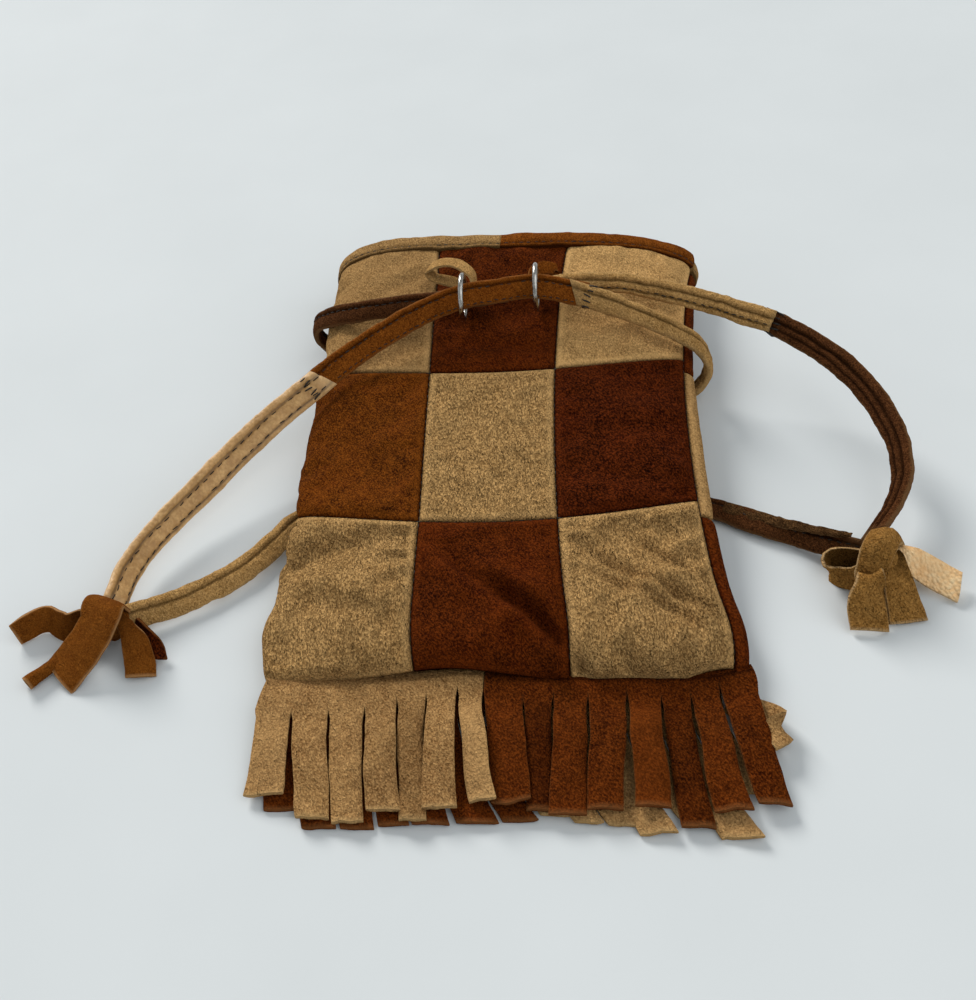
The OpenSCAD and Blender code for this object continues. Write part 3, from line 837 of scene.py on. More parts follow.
def ribbon(route, thickness, curl, end_skew):
    """A flat strip along a route of (point, width direction, width), with its raw-edge share."""
    line = follow(route, RIBBON_STEP)
    path, side, width = line[:, :3], line[:, 3:6], line[:, 6]
    u = np.sin(np.linspace(-np.pi / 2, np.pi / 2, RIBBON_COLUMNS))
    half = thickness / 2
    top = np.stack([u, half - 0.25 * half * np.abs(u) ** 8], -1)
    section = np.concatenate([top[::-1], [[-1.0, 0]], top * [1, -1], [[1.0, 0]]])
    sections = np.repeat(section[None], len(path), 0)
    sections[..., 0] *= width[:, None] / 2
    sections[..., 1] += curl * (1 - np.abs(section[:, 0]) ** 2)
    skew = end_skew * smooth((np.linspace(0, 1, len(path)) - 0.75) / 0.25)
    along, _, _ = frames(path, side)
    verts, faces = tube(path, side, sections)
    verts = verts.reshape(len(path), -1, 3) + along[:, None] * (skew[:, None] * section[:, 0])[..., None]
    share = np.zeros(len(section))
    share[[RIBBON_COLUMNS, -1]] = 1
    share[[0, RIBBON_COLUMNS - 1, RIBBON_COLUMNS + 1, -2]] = 0.25
    edge = np.tile(share, (len(path), 1))
    edge[-1] = TIP_EDGE
    return verts.reshape(-1, 3), faces, edge


def ribbon_part(route, thickness, bow=0.0, skew=0.0, dark_below=False, dark_start=0.0, dark_end=0.0):
    """A ribbon as a part, with painted shade on its lower face and on the ends that go into a knot."""
    verts, faces, edge = ribbon(route, thickness, bow, skew)
    rows = len(edge)
    groove = np.zeros(edge.shape)
    # painted shade on the lower face, and on the ends that go into a knot
    if dark_below:
        groove[:, RIBBON_COLUMNS + 1:-1] = 0.8
    share = np.linspace(0, 1, rows)[:, None]
    groove += dark_start * smooth(1 - share / 0.65) + dark_end * smooth((share - 0.5) / 0.35)
    return verts, faces, edge.ravel(), np.minimum(groove, 0.9).ravel()


def rolled(route, thickness, radius, turn):
    """A strip rolled up along its length: a spiral section carried along the route."""
    line = follow(route, RIBBON_STEP)
    arc = np.linspace(0, ROLL_TURN, ROLL_POINTS)
    size = radius * (0.62 + 0.38 * arc / arc[-1])
    way = np.stack([np.cos(arc + turn), np.sin(arc + turn)], -1)
    section = np.concatenate([size[:, None] * way, ((size - thickness)[:, None] * way)[::-1]])
    sections = section[None] * line[:, 6][:, None, None]
    verts, faces = tube(line[:, :3], line[:, 3:6], sections)
    edge, groove = np.zeros((2, len(line), len(section)))
    edge[:, ROLL_POINTS - 2:ROLL_POINTS + 2] = 0.9
    edge[-1] = TIP_EDGE
    # painted shade on the inner face of the roll
    groove[:, ROLL_POINTS:] = 0.8
    return verts, faces, edge.ravel(), groove.ravel()


def tied_lump(middle, radii, winding, seed):
    """The body of a knot: a lumpy ball with a groove that winds round it, and painted shade along that
    groove.
    """
    rows, columns = 40, 56
    down, around = np.linspace(0.02, np.pi - 0.02, rows), np.linspace(0, 2 * np.pi, columns + 1)[:-1]
    theta, phi = np.meshgrid(down, around, indexing="ij")
    ball = np.stack([np.sin(theta) * np.cos(phi), np.sin(theta) * np.sin(phi), np.cos(theta)], -1)
    wave = np.sin(winding * theta + phi)
    shape = 1 - 0.16 * bell(wave / 0.28) + 0.05 * noise(ball * 5, 1.6, seed)
    verts = (np.array(middle) + ball * radii * shape[..., None]).reshape(-1, 3)
    return verts, ring_faces(rows, columns), np.zeros(len(verts)), (0.7 * bell(wave / 0.3)).ravel()


def add_soft_piece(name, parts, material, slot, body, uneven=0.15):
    """The looks of one CAD piece, made of parts, each its points, faces, raw-edge share and painted shade.
    """
    verts, faces = merge(parts)
    verts = roughen(verts, LOWEST, (3.2, uneven, 51), (1.2, uneven * 0.4, 53))
    obj = make_object(name, verts, faces, material, attributes={
        "edge": np.concatenate([part[2] for part in parts]),
        "groove": np.concatenate([part[3] for part in parts]),
    }, sharp=SHARP_ANGLE)
    declare(obj, slot, body, name)
    return obj


# ---- Left knot ----
TAIL_THICKNESS = 1.2
# each row of a tail is a point, the direction of the strip's width and its width
# dark_start paints shade where a tail comes out of the knot
LEFT_TAILS = {
    "left_broad_tail": dict(route=[
        (-95.2, -35.2, 5.0, 0.92, -0.4, 0, 8.2), (-95.9, -36.6, 8.6, 0.92, -0.4, 0, 9.6),
        (-95.9, -39.2, 10.8, 0.91, -0.42, 0, 10.2), (-95.8, -42.9, 10.4, 0.91, -0.42, 0, 10.2),
        (-98.2, -46.6, 7.5, 0.89, -0.46, 0, 10.4), (-102.0, -50.0, 3.9, 0.86, -0.5, 0, 10.8),
        (-105.8, -53.1, 0.9, 0.85, -0.52, 0, 11.0),
    ], bow=0.5),
    "left_folded_tail": dict(route=[
        (-93.0, -40.6, 8.2, 0.93, -0.33, -0.2, 3.0), (-90.6, -43.2, 9.2, 0.95, -0.1, -0.3, 3.4),
        (-89.0, -44.9, 8.2, 0.98, 0.11, -0.16, 4.4), (-87.8, -46.5, 6.1, 0.9, 0.37, -0.23, 6.1),
        (-87.0, -48.8, 3.6, 0.87, 0.46, -0.17, 6.8), (-86.3, -51.4, 1.5, 0.87, 0.49, -0.08, 7.2),
        (-86.1, -53.0, 0.8, 0.8, 0.6, 0, 7.2),
    ], bow=0.7, dark_start=0.7),
    "left_wavy_tail": dict(route=[
        (-99.0, -40.6, 5.2, 0.33, 0.31, 0.89, 6.6), (-103.0, -39.6, 4.7, 0.33, 0.31, 0.89, 7.2),
        (-106.2, -40.5, 4.2, 0.29, 0.39, 0.87, 7.5), (-109.3, -39.3, 4.0, 0.24, 0.40, 0.88, 7.3),
        (-112.1, -37.8, 4.0, 0.13, 0.37, 0.92, 7.2), (-114.5, -38.2, 3.8, 0.06, 0.30, 0.95, 6.9),
        (-117.2, -39.8, 3.3, -0.07, 0.34, 0.94, 6.2), (-120.0, -41.6, 2.7, -0.20, 0.44, 0.86, 5.4),
    ], dark_start=0.7),
    "left_short_tail": dict(route=[
        (-90.0, -40.6, 4.0, 0.1, -0.7, -0.7, 5.5), (-87.6, -42.8, 3.8, 0.1, -0.7, -0.7, 5.6),
        (-85.4, -44.9, 3.4, 0.1, -0.75, -0.6, 5.4), (-83.1, -46.8, 2.4, 0.15, -0.8, -0.55, 4.2),
        (-80.9, -48.2, 1.4, 0.1, -0.8, -0.5, 0.5),
    ], bow=0.4, dark_start=0.6),
}
LEFT_ROLL = [
    # the last number of each row is the roll's size, as a share of its radius
    (-101.6, -43.4, 2.6, 1, 0, 0, 0.9), (-104.0, -45.8, 2.2, 1, -0.4, 0, 0.95),
    (-106.6, -48.7, 2.0, 0.9, -0.5, 0, 1.0), (-109.6, -52.2, 1.9, 0.8, -0.6, 0, 1.1),
    (-112.6, -55.6, 1.8, 0.8, -0.6, 0, 1.15),
]


def add_left_knot():
    """The left knot's body and its five tails."""
    core = tied_lump((-96.2, -40.2, 5.3), (5.2, 4.6, 4.6), 2.0, 61)
    pieces = [add_soft_piece("left_knot", [core], RUST, "brown_suede", "left_pull")]
    for name, shape in LEFT_TAILS.items():
        # the short tail takes the darker brown copy: painted shade on its shadowed inner face
        material = BROWN_SHADED if name == "left_short_tail" else RUST
        part = ribbon_part(thickness=TAIL_THICKNESS, **shape)
        pieces.append(add_soft_piece(name, [part], material, "brown_suede", "left_pull"))
    roll = rolled(LEFT_ROLL, 0.55, 1.7, math.radians(150))
    pieces.append(add_soft_piece("left_rolled_tail", [roll], RUST, "brown_suede", "left_pull"))
    return pieces


# ---- Right knot ----
# dark_start and dark_below paint shade where a tail leaves the knot and inside the curl
RIGHT_TAILS = {
    "right_front_tail": (OLIVE, "olive_suede", dict(route=[
        (86.0, -28.4, 6.4, 0.6, 0.75, 0.2, 2.0), (84.9, -30.0, 8.0, 0.7, 0.68, 0.15, 4.6),
        (83.9, -31.6, 8.3, 0.72, 0.68, 0.14, 6.8), (82.8, -34.2, 6.5, 0.88, 0.46, -0.02, 8.4),
        (82.3, -36.6, 4.4, 0.98, 0.2, 0, 8.8), (82.6, -38.8, 2.4, 0.99, 0.14, 0, 8.8),
        (82.8, -41.1, 0.9, 0.99, 0.13, 0, 8.5),
    ], bow=0.3, skew=0.5)),
    "right_middle_tail": (OLIVE, "olive_suede", dict(route=[
        (88.4, -22.8, 7.0, 0.99, 0.12, 0, 4.0), (89.4, -24.8, 8.6, 0.97, 0.2, 0, 4.8),
        (89.8, -27.8, 7.5, 0.89, 0.45, -0.1, 6.4), (90.4, -32.0, 5.4, 0.93, 0.36, -0.1, 7.7),
        (91.1, -35.8, 2.9, 0.95, 0.32, -0.07, 8.4), (91.9, -38.8, 0.9, 0.95, 0.3, 0, 9.2),
    ], bow=-0.4, skew=0.5, dark_start=0.9)),
    "right_smooth_tail": (PEBBLED, "smooth_tan", dict(route=[
        (88.6, -23.4, 5.8, 0.34, 0.84, 0.42, 4.2), (90.8, -23.9, 7.2, 0.34, 0.84, 0.42, 5.4),
        (93.8, -25.1, 6.9, 0.37, 0.84, 0.40, 6.6), (98.4, -26.3, 4.3, 0.37, 0.77, 0.52, 7.0),
        (101.7, -27.8, 3.0, 0.36, 0.82, 0.43, 7.2), (105.0, -29.6, 2.2, 0.26, 0.90, 0.35, 7.4),
    ], bow=0.3, skew=-1.0)),
    "right_curled_tail": (OLIVE, "olive_suede", dict(route=[
        (85.0, -22.8, 4.6, 0, 0.35, 0.93, 5.0), (81.6, -22.4, 4.2, 0, 0.35, 0.93, 6.0),
        (78.6, -22.0, 3.8, 0, 0.4, 0.9, 6.4), (76.6, -22.4, 3.5, -0.35, 0.45, 0.8, 6.4),
        (76.2, -24.0, 3.0, -0.5, 0.5, 0.7, 6.0), (77.6, -25.6, 2.4, -0.4, 0.5, 0.75, 5.2),
        (80.0, -26.8, 2.7, 0, 0.45, 0.9, 5.4), (82.6, -27.4, 3.8, 0.1, 0.4, 0.9, 6.2),
        (84.6, -27.6, 5.0, 0.1, 0.3, 0.95, 6.0),
    ], dark_below=True)),
}


def add_right_knot():
    """The right knot's body, wrapped once over, and its four tails."""
    core = tied_lump((86.6, -24.2, 6.6), (4.6, 4.8, 4.6), 2.0, 71)
    # dark_end paints shade on the wrap's end, beside the front tail
    wrap = ribbon_part([
        (91.0, -21.8, 4.4, 0.9, -0.4, -0.2, 4.6), (90.2, -20.6, 8.0, 0.9, -0.4, -0.2, 5.8),
        (88.3, -21.6, 10.8, 0.95, -0.3, -0.2, 7.0), (86.4, -24.2, 11.6, 0.97, -0.2, -0.15, 7.6),
        (84.9, -27.0, 10.2, 0.98, -0.1, -0.1, 7.2), (83.9, -29.0, 7.2, 1, 0, 0, 6.6),
        (84.1, -29.8, 3.8, 1, 0, 0, 5.6),
    ], thickness=1.5, bow=1.7, dark_end=0.4)
    pieces = [add_soft_piece("right_knot", [core, wrap], OLIVE, "olive_suede", "right_pull", uneven=0.3)]
    for name, (material, slot, shape) in RIGHT_TAILS.items():
        part = ribbon_part(thickness=TAIL_THICKNESS, **shape)
        pieces.append(add_soft_piece(name, [part], material, slot, "right_pull"))
    return pieces


def add_loose_ply():
    """The ragged upper layer of the second drawstring's brown strap, which has come loose near the knot."""
    part = ribbon_part([
        (53.0, -2.9, 2.9, 0.5, 1, 0.2, 3.2), (60.0, -7.0, 3.9, 0.4, 1, 0.5, 2.9),
        (67.5, -11.2, 5.2, 0.4, 1, 0.6, 2.3), (74.0, -14.4, 6.3, 0.4, 1, 0.6, 2.0),
        (79.0, -16.7, 7.3, 0.4, 1, 0.6, 1.7), (81.5, -17.8, 7.9, 0.4, 1, 0.6, 0.9),
    ], thickness=0.8, bow=0.2)
    verts = roughen(part[0], 0.0, (1.0, 0.28, 83))
    ply = make_object("right_brown_strap_ply", verts, part[1], PLY, attributes={
        "edge": part[2], "groove": part[3],
    }, sharp=SHARP_ANGLE)
    hang(ply, "right_brown_strap")
    return ply


left_pieces = add_left_knot()
right_pieces = add_right_knot()
loose_ply = add_loose_ply()


# ---- The drawstrings as cords, each path turned to start from the fitting that it leaves ----
CORDS = {
    # strap: which end leaves the fitting it comes from, what the far end is, pieces that go with it
    "left_smooth_strap": ("last", "knot", left_pieces),
    "left_tan_strap": ("first", "knot", []),
    "left_brown_strap": ("last", "object", []),
    "right_dark_strap": ("last", "knot", right_pieces),
    "right_tan_strap": ("last", "object", []),
    "right_brown_strap": ("first", "knot", [loose_ply]),
}
for name, (leaves_by, far_end, with_pieces) in CORDS.items():
    strap, path, sewn = straps[name]
    if leaves_by == "last":
        path = path[::-1]


# ---- Shape of the pouch ----
AXIS_SHIFT = -3.5
AXIS_BEND = 3.0
AXIS_Y = 35.0
NECK_Y = 20.0
FLARE = 3.2
SWELL = 1.1
SWELL_Y = -45.0
LIFTED_FROM_Y = -34.0
ROUNDNESS = 2.6  # power of the front's cross-section: 2 is an ellipse and more is boxier
FLATNESS = 6.0  # and of the back's
SEAM_SHARE = 0.47  # of the pouch's height, at its side seams


def middle_x(y):
    """Middle of the pouch, whose axis is slightly bent."""
    return AXIS_SHIFT + AXIS_BEND * ((y - AXIS_Y) / 90) ** 2


def half_width(y):
    """Half the width: waisted at the neck, and swelling just above the bottom seam."""
    waist = FLARE * ((y - NECK_Y) / 70) ** 2
    return NECK_WIDTH / 2 + waist + SWELL * bell((y - SWELL_Y) / 9) - 0.6 * bell((y - SEAM_Y) / 4)


def top_z(y):
    """Top of the front panel: a roll over the bottom seam, then a steady rise to the mouth."""
    q = np.clip((y - SEAM_Y) / ROLL_LENGTH, 0, 1)
    rise = (MOUTH_HEIGHT - SEAM_HEIGHT - BOTTOM_ROLL) / (MOUTH_Y - SEAM_Y)
    return SEAM_HEIGHT + BOTTOM_ROLL * np.sqrt(1 - (1 - q) ** 2) + rise * (y - SEAM_Y)


def under_z(y):
    """Underside of the back panel: flat, but lifted where the straps pass below it."""
    return STRAP_ROOM * smooth((y - LIFTED_FROM_Y) / 26) * smooth((MOUTH_Y + 1 - y) / 20)


def mouth_share(y):
    """0 at the belly of the pouch and 1 at its mouth."""
    return smooth((y - NECK_Y) / (MOUTH_Y - NECK_Y))


def section_point(angle, y):
    """A point of the closed cross-section: 0 is the left side, and a half turn over the front the right."""
    across = -np.cos(angle)
    near_mouth = mouth_share(y)
    power = ROUNDNESS + np.where(across < 0, 1.9, -0.6) * near_mouth
    share = SEAM_SHARE + 0.08 * across - 0.24 * near_mouth * np.maximum(across, 0)
    bottom, top = under_z(y), top_z(y)
    seam = bottom + (top - bottom) * share
    size = np.abs(across)
    over = seam + (top - seam) * np.sqrt(np.maximum(0, 1 - size ** power))
    below = seam - (seam - bottom) * np.sqrt(np.maximum(0, 1 - size ** FLATNESS))
    height = np.where(np.sin(angle) >= 0, over, below)
    return np.stack([middle_x(y) + half_width(y) * across, y, height], -1)


SPAN = MOUTH_Y + 8 - SEAM_Y
TABLE_ROWS = 140
TABLE_COLUMNS = 400
HALF_TURN = 720


def panel_angles(side):
    """Angle of the cross-section for equal steps across a panel, in rows that crowd to the bottom seam."""
    table = np.zeros((TABLE_ROWS, TABLE_COLUMNS))
    around = np.linspace(0, 2 * np.pi, 2 * HALF_TURN + 1)
    for row, v in enumerate(np.linspace(0, 1, TABLE_ROWS)):
        p = section_point(around, np.full(around.shape, SEAM_Y + SPAN * v * v))
        reach = reach_along(p)
        front, whole = reach[HALF_TURN], reach[-1]
        s = np.linspace(0, 1, TABLE_COLUMNS)
        q = s * front - SEAM_SHIFT if side == "front" else whole - SEAM_SHIFT - s * (whole - front)
        table[row] = np.interp(np.mod(q, whole), reach, around) - np.where(q < 0, 2 * np.pi, 0)
    return table


ANGLES = {side: panel_angles(side) for side in SIDES}


def panel_point(side, s, y):
    """A point of the outer surface of a panel: s is 0 at its left side seam and 1 at its right one."""
    i = np.sqrt(np.clip((y - SEAM_Y) / SPAN, 0, 1)) * (TABLE_ROWS - 1)
    j = np.clip(s, 0, 1) * (TABLE_COLUMNS - 1)
    i0 = np.minimum(i.astype(int), TABLE_ROWS - 2)
    j0 = np.minimum(j.astype(int), TABLE_COLUMNS - 2)
    return section_point(table_value(ANGLES[side], i0, j0, i - i0, j - j0), y)


def facing(side):
    """1 where a panel's outer face looks up and -1 where it looks down."""
    return 1 if side == "front" else -1


def seam_line(side, row, s):
    """How far along the pouch a row seam lies, at a place across the panel."""
    bow = ROW_BOWS[row] if side == "front" else ROW_BOWS[row] * 0.4
    y = ROW_SEAMS[row] + bow * (2 * s - 1) ** 2
    if row == 0 and side == "front":
        y = y + 1.3 * bell((s - 0.42) / 0.11) - 1.6 * bell((s - 0.78) / 0.1)
        y = y + 2.0 * smooth((s - 0.88) / 0.12)
    return np.maximum(y, SEAM_Y)


def grid_normals(grid, side):
    """Outward directions over a grid of points stored as rows along the pouch and columns across it."""
    return facing(side) * unit(np.cross(np.gradient(grid, axis=1), np.gradient(grid, axis=0)))


EDGE_STEPS = np.array([0, 0.15, 0.35, 0.6, 0.9, 1.3, 1.8, 2.5, 3.3])
EDGE_REACH = 4.2


def edge_steps(length, step):
    """Places from 0 to 1 that crowd at both ends, where the leather turns into the seams."""
    count = max(4, int((length - 2 * EDGE_REACH) / step))
    middle = np.linspace(EDGE_REACH, length - EDGE_REACH, count)
    return np.concatenate([EDGE_STEPS, middle, length - EDGE_STEPS[::-1]]) / length


# ---- Creases and folds of the front panel ----
CREASES = [
    # from, to, depth, half width, height of the ridge on either side
    ((-15, -24), (6, -46), 1.1, 1.7, 0.7),
    ((-6, -33), (19, -59), 2.7, 1.5, 1.7),
    ((-6, -38), (6, -55), 0.5, 2.6, 0.3),
    ((17, -22), (50, -47), 1.0, 1.2, 0.8),
    ((18, -30), (45, -50), 0.8, 1.1, 0.6),
    ((27, -22), (53, -36), 0.8, 1.2, 0.6),
    ((22, -50), (34, -58), 0.6, 1.8, 0.4),
    ((-26, -20), (-18, -38), 0.7, 2.0, 0.4),
    ((-53, -30), (-33, -44), 0.9, 2.6, 0.5),
    ((-28, -40), (-23, -54), 0.6, 1.6, 0.4),
    ((16, 2), (50, -10), 0.5, 3.0, 0.3),
    ((-52, 20), (-30, -8), 0.5, 4.5, 0.2),
    ((14, 46), (46, 66), 0.5, 2.4, 0.3),
    ((-20, 48), (8, 40), 0.6, 2.6, 0.4),
]
CREASE_STRENGTH = 1.6
CREASE_BEND = 1.6
# the ridges beside a crease: how far from its middle, and their half width, in half widths of the crease
RIDGE_AWAY = 2.3
RIDGE_WIDTH = 1.5
PUFFS = [
    # middle, reach across, reach along, height
    ((34, -50), 16, 8, 2.0),
    ((-38, -50), 15, 8, 0.9),
    ((-4, -50), 12, 6, 0.4),
    ((30, 8), 20, 18, 0.5),
]


def crease_lift(x, y):
    """Height that creases and puffs add to the front panel."""
    lift = 0 * x
    for (x0, y0), (x1, y1), depth, width, ridge in CREASES:
        length = math.hypot(x1 - x0, y1 - y0)
        ux, uy = (x1 - x0) / length, (y1 - y0) / length
        along = ((x - x0) * ux + (y - y0) * uy) / length
        bend = CREASE_BEND * np.sin(3.0 * along + x0)
        off = (x - x0) * uy - (y - y0) * ux + bend
        fade = smooth((along + 0.05) / 0.3) * smooth((1.08 - along) / 0.25)
        away, spread = RIDGE_AWAY * width, RIDGE_WIDTH * width
        beside = bell((off - away) / spread) + bell((off + away) / spread)
        lift = lift - CREASE_STRENGTH * depth * fade * bell(off / width)
        lift = lift + ridge * fade * beside
    for (x0, y0), reach_x, reach_y, height in PUFFS:
        lift = lift + height * bell((x - x0) / reach_x) * bell((y - y0) / reach_y)
    return lift


# ---- Cloth simulation of the front panel ----
CLOTH_SCALE = 10.0
CLOTH_STEPS = 22
CLOTH_FRAMES = 26
CLOTH_EXCESS = 0.032
CLOTH_LIMIT = 1.6
CLOTH_SETTINGS = {
    "quality": 7,
    "mass": 0.2,
    "tension_stiffness": 20,
    "compression_stiffness": 20,
    "shear_stiffness": 12,
    "bending_stiffness": 1.0,
    "tension_damping": 12,
    "compression_damping": 12,
    "shear_damping": 12,
    "vertex_group_mass": "sewn",
    "shrink_min": -CLOTH_EXCESS,
}
SLACK_SHARES = [
    # how much of the simulated slack each front patch shows, by row and column
    [1.7, 0.7, 1.6],
    [0.8, 0.7, 0.9],
    [0.9, 0.9, 0.9],
]


def panel_sheet():
    """The front panel as one sheet of equal steps between its seams: points and outward directions."""
    share = np.arange(3 * CLOTH_STEPS + 1) / CLOTH_STEPS
    s = np.interp(share, range(4), COLUMN_SEAMS)
    rows = np.minimum(share.astype(int), 2)
    grid = np.zeros((len(share), len(share), 3))
    for i, (row, t) in enumerate(zip(rows, share - rows)):
        low, high = seam_line("front", row, s), seam_line("front", row + 1, s)
        t = t * t if row == 0 else t
        grid[i] = panel_point("front", s, low + (high - low) * t)
    return grid, grid_normals(grid, "front")


def blurred(values, passes):
    """A table smoothed by averaging neighbours that many times."""
    for _ in range(passes):
        wide = np.pad(values, 1, mode="edge")
        values = (wide[:-2, 1:-1] + wide[2:, 1:-1] + wide[1:-1, :-2] + wide[1:-1, 2:]) / 4
    return values


def settled_cloth(points, faces, sewn):
    """Where the points of a cloth come to rest when those of its seams are held."""
    mesh = bpy.data.meshes.new("panel_cloth")
    mesh.from_pydata(points.tolist(), [], faces.tolist())
    cloth_object = bpy.data.objects.new("panel_cloth", mesh)
    bpy.context.scene.collection.objects.link(cloth_object)
    cloth_object.vertex_groups.new(name="sewn").add(sewn.tolist(), 1.0, "REPLACE")
    cloth = cloth_object.modifiers.new("cloth", "CLOTH")
    for key, value in CLOTH_SETTINGS.items():
        setattr(cloth.settings, key, value)
    cloth.settings.effector_weights.gravity = 0.05
    cloth.collision_settings.use_collision = False
    for step in range(1, CLOTH_FRAMES + 1):
        bpy.context.scene.frame_set(step)
    settled = cloth_object.evaluated_get(bpy.context.evaluated_depsgraph_get())
    place = np.zeros(points.size)
    settled.data.vertices.foreach_get("co", place)
    bpy.data.objects.remove(cloth_object)
    bpy.context.scene.frame_set(1)
    return place


def simulate_panel():
    """How far slack suede, sewn down along its seams, moves out of the panel's plain shape."""
    grid, normal = panel_sheet()
    count = len(grid)
    start = grid + normal * (0.5 * noise(grid, 9.0, 91) + 0.25 * noise(grid, 4.0, 92))[..., None]
    at = np.arange(count * count).reshape(count, count)
    seams = np.concatenate([at[::CLOTH_STEPS].ravel(), at[:, ::CLOTH_STEPS].ravel()])
    place = settled_cloth(start.reshape(-1, 3) * MM * CLOTH_SCALE, grid_faces(count, count), seams)
    moved = np.sum((place.reshape(grid.shape) / (MM * CLOTH_SCALE) - grid) * normal, -1)
    return CLOTH_LIMIT * np.tanh((moved - 0.8 * blurred(moved, 14)) / CLOTH_LIMIT)


SLACK = simulate_panel()


def slack_at(row, column, along, across):
    """The simulated movement at places from 0 to 1 along and across one patch."""
    i = np.clip((row + along) * CLOTH_STEPS, 0, 3 * CLOTH_STEPS - 0.001)
    j = np.clip((column + across) * CLOTH_STEPS, 0, 3 * CLOTH_STEPS - 0.001)
    i0, j0 = i.astype(int), j.astype(int)
    return table_value(SLACK, i0, j0, smooth(i - i0), smooth(j - j0))


# ---- Patches ----
SEAM_DEPTH = 1.0
SEAM_ROUND = 1.5
PUFF_HEIGHT = 0.9
PUFF_REACH = 6
TOP_TUCK = 3.0  # of the top patches, into the mouth binding
GATHER_REACH = 6
# sizes, depths and seeds of the layers of unevenness in hand-cut suede
SUEDE_LUMPS = ((13.0, 0.55, 3), (5.5, 0.3, 4), (2.4, 0.12, 5))
PATCH_STEPS = {"front": 0.75, "back": 1.5}
LOWEST_INSIDE = 0.3


def is_brown(side, row, column):
    """The checker: brown and tan by turns, reversed on the back."""
    return (row + column + (side == "back")) % 2 == 1


def suede_slot(brown):
    """The slot of the record that brown or tan suede belongs to."""
    return "brown_suede" if brown else "tan_suede"


def is_tan_half(side, half):
    """Bindings and fringes: tan on the front's left half and the back's right half, else brown."""
    return (half == "left") == (side == "front")


def distances(grid, axis):
    """Distance along each line of a grid of points, from its first row (0) or column (1)."""
    steps = np.linalg.norm(np.diff(grid, axis=axis), axis=2)
    return np.insert(np.cumsum(steps, axis), 0, 0, axis)


def patch_grid(side, row, column, step):
    """Outer points of a patch, outward directions, distances from its seams and its top, places on it."""
    s0, s1 = COLUMN_SEAMS[column], COLUMN_SEAMS[column + 1]
    tuck = TOP_TUCK if row == 2 else 0.0
    middle = np.full(300, (s0 + s1) / 2)
    low, high = seam_line(side, row, middle), seam_line(side, row + 1, middle) + tuck
    trial = np.linspace(0, 1, len(middle)) ** (2 if row == 0 else 1)
    reach = reach_along(panel_point(side, middle, low + (high - low) * trial))
    along = np.interp(edge_steps(reach[-1], step), reach / reach[-1], trial)
    across = s0 + (s1 - s0) * edge_steps(NECK_WIDTH * 1.08 * (s1 - s0), step)
    s, t = np.meshgrid(across, along)
    y0, y1 = seam_line(side, row, s), seam_line(side, row + 1, s) + tuck
    grid = panel_point(side, s, y0 + (y1 - y0) * t)
    normal = grid_normals(grid, side)
    dx, dy = distances(grid, 1), distances(grid, 0)
    dx = np.minimum(dx, dx[:, -1:] - dx)
    far = dy[-1:] - dy
    dy = np.minimum(dy, far + (GATHER_REACH if row == 2 else 0))
    return grid, normal, dx, dy, far, (t, (s - s0) / (s1 - s0))


def round_off(d):
    """0 at a seam, rising to 1 as the leather rounds over out of it."""
    return np.sqrt(1 - (1 - np.clip(d / SEAM_ROUND, 0, 1)) ** 2)


def lumps(grid, away):
    """Soft unevenness of hand-cut suede, which fades out at the seams."""
    return sum(noise(grid, size, seed) * depth for size, depth, seed in SUEDE_LUMPS) * smooth(away / 5)


def flat_size(points):
    """Mean lengths across and along a grid of points: what the piece would measure laid flat, in metres."""
    across = np.linalg.norm(np.diff(points, axis=1), axis=2).sum(1).mean()
    along = np.linalg.norm(np.diff(points, axis=0), axis=2).sum(0).mean()
    return (float(across * MM), float(along * MM))


def puffed(dx, dy):
    """Lift of slack leather between its seams, turned down into the grooves."""
    lift = PUFF_HEIGHT * (1 - np.exp(-dx / PUFF_REACH)) * (1 - np.exp(-dy / PUFF_REACH))
    return lift - SEAM_DEPTH * (1 - round_off(dx) * round_off(dy))


def creased(lift, grid, row, column, away, far, place):
    """The lift of a front patch with its long folds and its fine puckers."""
    lift = lift + crease_lift(grid[..., 0], grid[..., 1]) * smooth(away / 3.2)
    clear = smooth((away - 0.6) / 2.6) * (smooth((far - GATHER_REACH) / 8) if row == 2 else 1)
    return lift + SLACK_SHARES[row][column] * slack_at(row, column, *place) * clear


def gathered(lift, grid, dx, far):
    """The lift of a top patch, pinched and rippled where the mouth binding holds it."""
    pinch = bell((far - TOP_TUCK) / 1.3) + smooth(TOP_TUCK - far)
    ripple = noise(grid * [1, 0.25, 1], 2.6, 9) * bell((far - GATHER_REACH) / 7) * smooth(dx / 4)
    return lift - 0.35 * pinch + 0.55 * ripple * smooth((far - 2.5) / 2)


def patch_painted_light(away, brown):
    """Painted shade in the grooves at a patch's seams and evenly over its inner face, and painted
    highlights on the fluffed nap beside the seams.
    """
    groove = bell(away / 0.3) * 0.7
    # painted highlight where the nap beside the seams is fluffed, strong on tan and faint on brown
    fluff_highlight = (0.25 if brown else 0.9) * bell((away - 1.2) / 0.7)
    return {
        "groove": np.concatenate([groove.ravel(), np.full(groove.size, 0.25)]),
        "pale": np.concatenate([fluff_highlight.ravel(), np.zeros(groove.size)]),
        "edge": np.zeros(2 * groove.size),
    }


